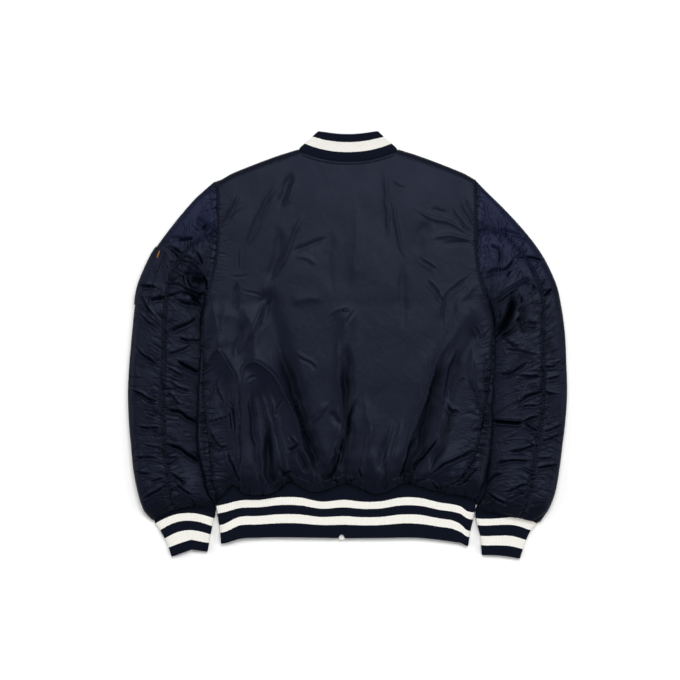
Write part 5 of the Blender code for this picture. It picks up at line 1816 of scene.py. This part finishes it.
@dataclass
class HemRib:
    """The waist rib: from the zip round one side, across the back and round to the zip."""

    wardrobe: Wardrobe
    under_left: float = 210.0
    across: float = 444.0
    under_right: float = 216.0
    tuck: float = 5.0
    piece: Optional[Piece] = None

    def build(self) -> None:
        """Make the rib; its top rows are tucked under the blousing panels.

        Its upper rows take their height from the cloth that is sewn to it, and its lower
        ones from a flat tube. The fold of the doubled knit shows as a ridge 14 mm above
        the lower edge with a groove below it. The stripes follow both edges' waves, and
        droop towards the two sides.
        """
        shares = graded(90, 5.4, 0.8, 9)[:, None]
        left, right = read(HEM_RIB_LEFT, shares), read(HEM_RIB_RIGHT, shares)
        step = WALE / 4
        stops = [length / step for length in (self.under_left, self.across, self.under_right)]
        from_left = np.arange(stops[0], -0.5, -1)[None, :] / stops[0]
        across = np.arange(1, stops[1])[None, :] / stops[1]
        from_right = np.arange(0, stops[2] + 0.5)[None, :] / stops[2]
        x = np.concatenate([left + (ZIP_X - FRONT_EDGE - left) * from_left,
                            left + (right - left) * across,
                            right - (right - ZIP_X - FRONT_EDGE) * from_right], axis=1)
        column = np.arange(x.shape[1])
        end = from_left.size + across.size
        upper = np.broadcast_to((column >= from_left.size) & (column < end), x.shape)
        around = np.broadcast_to(column * step, x.shape)
        seam, edge = hem_line(x, upper), read(RIB_EDGE, x)
        bottom = edge + 6.0 * np.exp(-((x - ZIP_X) / 4.5) ** 4)
        y = seam + self.tuck + (bottom - seam - self.tuck) * shares
        depth, from_edge = seam - y, y - edge
        sewn = body_form(np.full(x.shape, HEM_Y), np.clip(x, *HEM_INSIDE), upper, True)[..., 2]
        follow = 1 - step_up(depth, 0, 38)
        form = tube_form(x, y, HEM_RIB_FOLD, HEM_RIB_LOFT, zip_lift(x),
                         np.minimum(x - left, right - x), HEM_RIB_RUN, upper)
        form[..., 2] = form[..., 2] * (1 - follow) + sewn * follow
        normal = grid_normals(form)
        relief, thin = HEM_MAKE.relief(around, depth, y - bottom, (x, y), upper)
        relief += np.where(upper, 0.5 * bell(from_edge, 14, 3) - 0.9 * bell(from_edge, 8.5, 1.8), 0)
        outer = raised(form, normal, relief)
        height = from_edge / (1 + read(RIB_WAVES, x) / 68)
        droop = 8.5 * step_up(x, 172, 208) + 6.0 * step_up(-x, 180, 214)
        band = np.interp(height + droop * bell(height, 28, 15), HEM_STRIPES,
                         [5.0, 4.0, 3.0, 2.0, 1.0, 0.0])
        # The "tuck" attribute is painted shade on the rib under the cloth's edge, near its sewn
        # seam.
        self.piece = shell(
            "hem_rib_knit", outer, HEM_MAKE.lining(outer, normal, thin),
            np.stack([around, height], -1) * MM,
            {"band": band, "tuck": 0.55 * bell(depth, 0, 6) * upper}, self.wardrobe.knit)


@dataclass
class Cuff:
    """A flattened knitted tube at the end of a sleeve.

    The stripes' edges are shares of its depth. Their line leans from the outer fold to
    the inner one, and swells in the middle. A pinch of 1 draws its mouth up to a point.
    """

    side: str
    rows: Sequence[CuffRow]
    stripes: tuple[float, float, float, float]
    lean: Point
    swell: float
    pinch: float
    wardrobe: Wardrobe
    depth: float = 66.0
    wale_count: int = 30
    tuck: float = 0.09
    piece: Optional[Piece] = None

    def build(self) -> None:
        """Make the cuff; its top rows are tucked into the sleeve.

        A row's line is a shallow arch. The pinch turns it, towards the mouth, into a tent
        with its peak at CUFF_PEAK, and presses a groove there.
        """
        share_down = (-self.tuck + (1 + self.tuck) * graded(68, 3.4, 0.7, 7))[:, None]
        at = np.clip(share_down, 0, 1)
        knots = np.linspace(0, 1, len(self.rows))
        value = {name: table_column(self.rows, name, knots, at) for name in CuffRow._fields}
        first, second = self.rows[:2]
        back = np.minimum(share_down, 0) * 3
        for name in ("outer_x", "outer_y", "inner_x", "inner_y"):
            value[name] = value[name] + back * (getattr(second, name) - getattr(first, name))
        count = self.wale_count * 4
        share = np.concatenate([np.arange(0, count + 1), np.arange(count - 1, 0, -1)])
        share = share[None, :] / count
        column = np.arange(share.size)
        upper = np.broadcast_to(column <= count, (len(share_down), share.size))
        x = value["outer_x"] + (value["inner_x"] - value["outer_x"]) * share
        y = value["outer_y"] + (value["inner_y"] - value["outer_y"]) * share
        arch = 4 * share * (1 - share)
        tent = np.minimum(share / CUFF_PEAK, (1 - share) / (1 - CUFF_PEAK))
        y = y + value["bow"] * (arch + (tent - arch) * (self.pinch * step_up(at, 0.5, 0.85)))
        width = np.abs(value["inner_x"] - value["outer_x"])
        form = tube_form(x, y, CUFF_FOLD, CUFF_LOFT, 0.0, np.minimum(share, 1 - share) * width,
                         CUFF_RUN, upper)
        closed = np.concatenate([form[:, -1:], form, form[:, :1]], axis=1)
        normal = grid_normals(closed)[:, 1:-1] * (1 if self.side == "left" else -1)
        depth = share_down * self.depth
        around = np.broadcast_to(column * WALE / 4, x.shape)
        relief, thin = CUFF_MAKE.relief(around, depth, (1 - share_down) * self.depth, (x, y), upper)
        relief -= np.where(upper, 1.8 * self.pinch * step_up(at, 0.7, 0.95)
                           * bell((share - CUFF_PEAK) * width, 0, 2.4), 0)
        outer = raised(form, normal, relief)
        lean = self.lean[0] + (self.lean[1] - self.lean[0]) * step_up(share, 0.2, 0.95)
        band = stripe_band(at - lean * (1 - at) + self.swell * arch * (1 - at) ** 3, self.stripes)
        lap = np.arange(share.size + 1) * WALE / 4
        cloth = np.stack(np.broadcast_arrays(lap[None, :], -depth), -1) * MM
        # The "tuck" attribute is painted shade on the cuff under the sleeve's edge, near its sewn
        # seam.
        self.piece = shell(f"cuff_{self.side}_knit", outer, CUFF_MAKE.lining(outer, normal, thin),
                           cloth, {"band": band, "tuck": 0.5 * bell(depth, 0, 5) * upper},
                           self.wardrobe.knit, ring=True)


@dataclass
class Collar:
    """The standing rib collar: its back half lies uppermost, its front half beneath."""

    wardrobe: Wardrobe
    depth: float = 42.0
    wale_count: int = 54
    tuck: float = 0.1
    piece: Optional[Piece] = None

    def build(self) -> None:
        """Make the collar; its lowest rows are tucked under the neck's edge.

        A column runs from the neckline up to a line of the same kind at the collar's top:
        the square of its share across for the back half, a power of 1.7 for the front.
        """
        drop = (1 - (1 + self.tuck) * graded(46, 2.6, 0.6, 6))[:, None]
        rise = np.clip(drop, 0, 1)
        half = NECK_HALF_WIDTH + (COLLAR_TOP_HALF_WIDTH - NECK_HALF_WIDTH) * rise
        step = 1 / (self.wale_count * 2)
        back = np.arange(-1, 1 + step / 2, step)[None, :]
        front = np.linspace(0, 1, 130)[1:][None, :]
        left_end = (ZIP_X - FRONT_EDGE - NECK_X) / half
        right_end = (ZIP_X + FRONT_EDGE - NECK_X) / half
        share = np.concatenate([(-1 + (left_end + 1) * front)[:, ::-1],
                                np.broadcast_to(back, (drop.size, back.size)),
                                1 - (1 - right_end) * front], axis=1)
        column = np.arange(share.shape[1]) - front.size
        upper = np.broadcast_to((column >= 0) & (column < back.size), share.shape)
        spread = np.abs(share)
        base_y = np.where(upper, neckline(spread, False), neckline(spread, True))
        top_back = COLLAR_TOP_BACK_Y + (COLLAR_TOP_SIDE_Y - COLLAR_TOP_BACK_Y) * spread ** 2
        top_front = COLLAR_TOP_FRONT_Y + (COLLAR_TOP_SIDE_Y - COLLAR_TOP_FRONT_Y) * spread ** 1.7
        y = base_y + (np.where(upper, top_back, top_front) - base_y) * drop
        x = NECK_X + share * half
        loft = BODY_ROWS[0].loft + (COLLAR_TOP_LOFT - BODY_ROWS[0].loft) * rise
        fold = BODY_ROWS[0].fold + (COLLAR_TOP_FOLD - BODY_ROWS[0].fold) * rise
        form = tube_form(x, y, fold, loft, zip_lift(x), (1 - spread) * half, COLLAR_RUN, upper)
        normal = grid_normals(form)
        height = np.broadcast_to(drop * self.depth, x.shape)
        around = np.broadcast_to(column * WALE / 4, x.shape)
        relief, thin = COLLAR_MAKE.relief(around, height, (1 - drop) * self.depth, (x, y), upper)
        outer = raised(form, normal, relief)
        band = stripe_band(np.broadcast_to(rise, x.shape) * 0.62,
                           (0.318 * 0.62, 0.68 * 0.62, 0.9, 0.95))
        self.piece = shell("collar_knit", outer, COLLAR_MAKE.lining(outer, normal, thin),
                           np.stack([around, height], -1) * MM, {"band": band},
                           self.wardrobe.collar)


# ---- details
def grains(name: str, centre: Array, along: Array, up: Array, size: Place,
           material: Material) -> Piece:
    """Many small grains in one mesh, each with two tips and a ring of six points.

    Args:
        name: The piece's name.
        centre: The grains' middles.
        along: Unit directions that they point in.
        up: Unit normals of the cloth beneath them.
        size: Half length, half width and half height.
        material: Their finish.

    Returns:
        The piece.
    """
    side = np.cross(up, along)
    angle = np.linspace(0, 2 * np.pi, 6, endpoint=False)
    ring = (centre[:, None] + side[:, None] * size[1] * np.cos(angle)[None, :, None]
            + up[:, None] * size[2] * np.sin(angle)[None, :, None])
    tips = np.stack([centre - along * size[0], centre + along * size[0]], 1)
    points = np.concatenate([tips, ring], axis=1)
    k = np.arange(6)
    fan = np.concatenate([np.stack([0 * k, 2 + (k + 1) % 6, 2 + k], -1),
                          np.stack([0 * k + 1, 2 + k, 2 + (k + 1) % 6], -1)])
    faces = (fan[None] + 8 * np.arange(len(centre))[:, None, None]).reshape(-1, 3)
    return add_piece(name, mesh_from(name, points.reshape(-1, 3), faces), material)


def unit(vectors: Array) -> Array:
    """Vectors brought to length 1."""
    return vectors / np.maximum(np.linalg.norm(vectors, axis=-1, keepdims=True), 1e-6)


def stitch_line(line: Array) -> tuple[Array, Array]:
    """Stitches spaced evenly along a line of points.

    Args:
        line: The points.

    Returns:
        The stitches' middles, and the directions in which they run.
    """
    way = walked(line)
    at = np.arange(STITCH_PITCH / 2, way[-1], STITCH_PITCH)
    middle, ahead, behind = (
        np.stack([np.interp(at + shift, way, line[:, k]) for k in range(3)], -1)
        for shift in (0.0, 0.6, -0.6))
    return middle, unit(ahead - behind)


def stitches(name: str, lines: Sequence[Array], material: Material) -> Piece:
    """Topstitching along lines that lie on upward-facing cloth.

    Args:
        name: The piece's name.
        lines: Lines of points.
        material: The thread.

    Returns:
        The piece.
    """
    middle, along = (np.concatenate(part) for part in zip(*map(stitch_line, lines)))
    up = unit(np.array([0.0, 0.0, 1.0]) - along * along[:, 2:])
    size = (STITCH_PITCH * 0.36, 0.34, 0.26)
    return grains(name, middle + up * 0.05, along, up, size, material)


@dataclass
class Pocket:
    """The patch pocket round the left sleeve's outer fold, and its orange tape end."""

    sleeve: Sleeve
    wardrobe: Wardrobe
    start: float = 3.7
    end: float = 6.7
    reach_under: float = 0.52
    reach_on_back: float = 0.45
    patch: Optional[Piece] = None
    tape: Optional[Piece] = None

    def build(self) -> None:
        """Lay the patch on the sleeve's own creased surface, with gathers at its edge."""
        sleeve = self.sleeve
        station = np.linspace(self.start, self.end, 90)[:, None]
        seam, width = sleeve.value("seam", station), sleeve.width(station)
        under_end = seam + (1 - seam) * self.reach_under
        upper_end = seam * self.reach_on_back
        below = graded(85, 2.6, 1.0, 14, "both")
        above = graded(24, 2.2, 0.8, 8, "both")[1:]
        share = np.concatenate([under_end * (1 - below)[None, :], upper_end * above[None, :]],
                               axis=1)
        upper = np.broadcast_to(np.arange(share.shape[1]) >= below.size, share.shape)
        base, normal, attributes = sleeve.points(station, share, upper)
        around = np.where(upper, share, -share) * width
        along = sleeve.along(station)
        ends = np.minimum(along - along[0], along[-1] - along) + 0 * share
        edge = np.minimum(np.minimum(around + under_end * width, upper_end * width - around), ends)
        gathers = 0.8 * np.maximum(0, pucker(along + 40 + 0 * share, edge, 6.5, 9))
        height = 0.5 + 1.5 * rounding(edge, 2.4) - 0.45 * bell(edge, 4.5, 0.8)
        outer = raised(base, normal, np.where(upper, height + gathers, height))
        outer[..., 2] = np.where(upper, outer[..., 2], np.maximum(base[..., 2] - 1.9, 0))
        cloth = np.stack([around, -along + 0 * share], -1) * MM
        self.patch = shell("pocket_cloth", outer, base + normal * 0.25, cloth, attributes,
                           self.wardrobe.sleeve)
        self.pull(outer[upper])

    def pull(self, surface: Array) -> None:
        """The orange tape end, a flat lens that lies on the patch's upper corner.

        Its outline is an oval with a pointed cosine across it, and four rings of it close
        in towards the middle of its top.

        Args:
            surface: The patch's upper points.
        """
        middle, half_length, half_width = np.array([-320.6, 152.6]), 7.6, 1.25
        turn = np.radians(-20)
        nearest = np.argsort(np.hypot(*(surface[:, :2] - middle).T))[:12]
        angle = np.linspace(0, 2 * np.pi, 28, endpoint=False)
        rings = []
        for share, height in ((1.0, 0.0), (1.0, 0.6), (0.82, 1.0), (0.0, 1.05)):
            across = half_width * share * np.sign(np.cos(angle)) * np.abs(np.cos(angle)) ** 1.3
            along = half_length * share * np.sin(angle)
            x = middle[0] + across * np.cos(turn) - along * np.sin(turn)
            y = middle[1] + across * np.sin(turn) + along * np.cos(turn)
            rings.append(np.stack([x, y, np.full(x.shape, height)], -1))
        grid = np.stack(rings)
        base = surface[nearest, 2].max() + 0.15
        grid[..., 2] += base
        bottom = np.broadcast_to(np.array([*middle, base]), grid[:1].shape)
        grid = np.concatenate([bottom, grid])
        points = grid.reshape(-1, 3)
        faces = grid_faces(np.arange(len(points)).reshape(grid.shape[:2]), True)
        mesh = mesh_from("pocket_tape", points,
                         faces if outwards(points, faces) else faces[:, ::-1])
        weld(mesh)
        self.tape = add_piece("pocket_tape", mesh, self.wardrobe.orange)


@dataclass
class Zip:
    """The front zip on the hidden side: interlocked teeth between the frame's tapes."""

    wardrobe: Wardrobe
    pitch: float = 2.5
    clear_end: float = 0.9

    def build(self) -> None:
        """Make two rows of teeth, and dress the frame's own tapes and metal."""
        low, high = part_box("zip_teeth_left")
        for side, way, phase in (("left", -1, 0.0), ("right", 1, self.pitch / 2)):
            y = np.arange(low.y / MM + self.clear_end + phase, high.y / MM - self.clear_end,
                          self.pitch)
            row = self.teeth(f"zip_chain_{side}", y, way)
            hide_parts(f"zip_teeth_{side}")
        tape, metal = self.wardrobe.tape, self.wardrobe.metal
        for node, material in (("zip_tape_left", tape), ("zip_tape_right", tape),
                               ("zip_box", metal), ("slider", metal), ("pull_tab", metal)):
            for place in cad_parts[node].material_slots:
                place.material = material

    def teeth(self, name: str, y: Array, way: int) -> Piece:
        """One row of moulded teeth: a head over the middle line and a foot on the tape.

        Args:
            name: The piece's name.
            y: The teeth's places along the zip.
            way: -1 for the left row, 1 for the right one.

        Returns:
            The piece.
        """
        rings = []
        for x, half_y, half_z in ZIP_TOOTH:
            rings.append([(ZIP_X + way * x, a * half_y, ZIP_MID_Z + b * half_z)
                          for a, b in ((-1, -1), (1, -1), (1, 1), (-1, 1))])
        template = np.concatenate(rings)
        points = np.repeat(template[None], len(y), axis=0)
        points[..., 1] += y[:, None]
        quads = [(3, 2, 1, 0), (12, 13, 14, 15)]
        for a in (0, 4, 8):
            quads += [(a + k, a + (k + 1) % 4, a + 4 + (k + 1) % 4, a + 4 + k) for k in range(4)]
        quads = np.array(quads)
        if not outwards(template, quads):
            quads = quads[:, ::-1]
        faces = (quads[None] + 16 * np.arange(len(y))[:, None, None]).reshape(-1, 4)
        mesh = mesh_from(name, points.reshape(-1, 3), faces)
        mesh.shade_flat()
        return add_piece(name, mesh, self.wardrobe.metal)


@dataclass
class Studio:
    """Pale surface, soft lights and the camera straight above."""

    wardrobe: Wardrobe
    middle: Point = (-12.75, 7.3)
    width: float = 1.156

    def build(self) -> None:
        """Set the stage."""
        self.floor()
        self.light("top_panel", (0.25, 0.95, 2.9), (2.0, 1.2), 72.0)
        self.light("left_fill", (-2.6, 0.4, 1.7), (1.8, 1.8), 34.0)
        self.light("right_fill", (2.7, -0.6, 2.0), (1.8, 1.8), 34.0)
        world = bpy.data.worlds.new("studio_air")
        bpy.context.scene.world = world
        world.use_nodes = True
        background = world.node_tree.nodes["Background"]
        background.inputs["Color"].default_value = (1.0, 1.0, 1.0, 1.0)
        background.inputs["Strength"].default_value = 0.22
        self.camera()
        bpy.context.scene.view_settings.view_transform = "Standard"

    def floor(self) -> None:
        """The surface that the jacket lies on, half a millimetre below it."""
        corners = 4000.0 * np.array([(-1, -1, 0), (1, -1, 0), (1, 1, 0), (-1, 1, 0)])
        mesh = mesh_from(SURFACE, corners - (0, 0, 0.5), np.array([[0, 1, 2, 3]]))
        link(bpy.data.objects.new(SURFACE, mesh), self.wardrobe.floor)

    def light(self, name: str, place: Place, size: Point, power: float) -> None:
        """A soft rectangular panel that faces the middle of the floor.

        Args:
            name: The lamp's name.
            place: Where it stands, in metres.
            size: Its width and height.
            power: Its power in watts.
        """
        lamp = bpy.data.lights.new(name, "AREA")
        lamp.shape = "RECTANGLE"
        lamp.size, lamp.size_y = size
        lamp.energy = power
        item = link(bpy.data.objects.new(name, lamp))
        item.location = place
        item.rotation_euler = (-Vector(place)).to_track_quat("-Z", "Y").to_euler()

    def camera(self) -> None:
        """A long lens straight above, so that the flat lay keeps its outline."""
        view = bpy.data.cameras.new("camera")
        view.lens, view.sensor_width = 120.0, 36.0
        item = link(bpy.data.objects.new("camera", view))
        item.location = (self.middle[0] * MM, self.middle[1] * MM,
                         0.010 + self.width * view.lens / view.sensor_width)
        bpy.context.scene.camera = item


@dataclass(frozen=True)
class Cut:
    """What a sheet of cloth is: its slot, its flat size and area in metres, what it lies on."""

    slot: str
    flat: Point
    area: float
    rests_on: tuple[str, ...] = (SURFACE,)


def declare(pieces: dict[str, Piece]) -> None:
    """Hide the frame's node that each sheet of cloth stands for, and log the sheet's half surface.

    Args:
        pieces: The sheets, by node.
    """
    for node, piece in pieces.items():
        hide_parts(node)
        areas = np.zeros(len(piece.data.polygons))
        piece.data.polygons.foreach_get("area", areas)
        LOG.info("%s: half surface %.4f m2", node, areas.sum() / 2)


def main() -> None:
    logging.basicConfig(level=logging.INFO, format="%(name)s: %(message)s")
    wardrobe = Wardrobe()
    body = Body(wardrobe)
    left = Sleeve("left", LEFT_SLEEVE, LEFT_SLEEVE_CREASES, wardrobe)
    right = Sleeve("right", RIGHT_SLEEVE, RIGHT_SLEEVE_CREASES, wardrobe)
    pocket = Pocket(left, wardrobe)
    hem = HemRib(wardrobe)
    left_cuff = Cuff("left", LEFT_CUFF, (0.136, 0.363, 0.58, 0.785), (-0.053, 0.053), 0.0, 1.0,
                     wardrobe)
    right_cuff = Cuff("right", RIGHT_CUFF, (0.17, 0.37, 0.61, 0.80), (-0.136, 0.117), 0.1, 0.0,
                      wardrobe)
    collar = Collar(wardrobe)
    for part in (body, left, right, pocket, hem, left_cuff, right_cuff, collar, Zip(wardrobe)):
        part.build()

    pieces = {**body.pieces, "hem_rib": hem.piece, "collar": collar.piece,
              "cuff_left": left_cuff.piece, "cuff_right": right_cuff.piece,
              "sleeve_pocket": pocket.patch}
    extras = {"back": body.stitch()}
    for sleeve in (left, right):
        for name, piece in sleeve.pieces.items():
            pieces[f"sleeve_{sleeve.side}_{name}"] = piece
        extras[f"sleeve_{sleeve.side}_outer"] = sleeve.stitch()
    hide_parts("pocket_pull")
    declare(pieces)
    Studio(wardrobe).build()


if __name__ == "__main__":
    main()
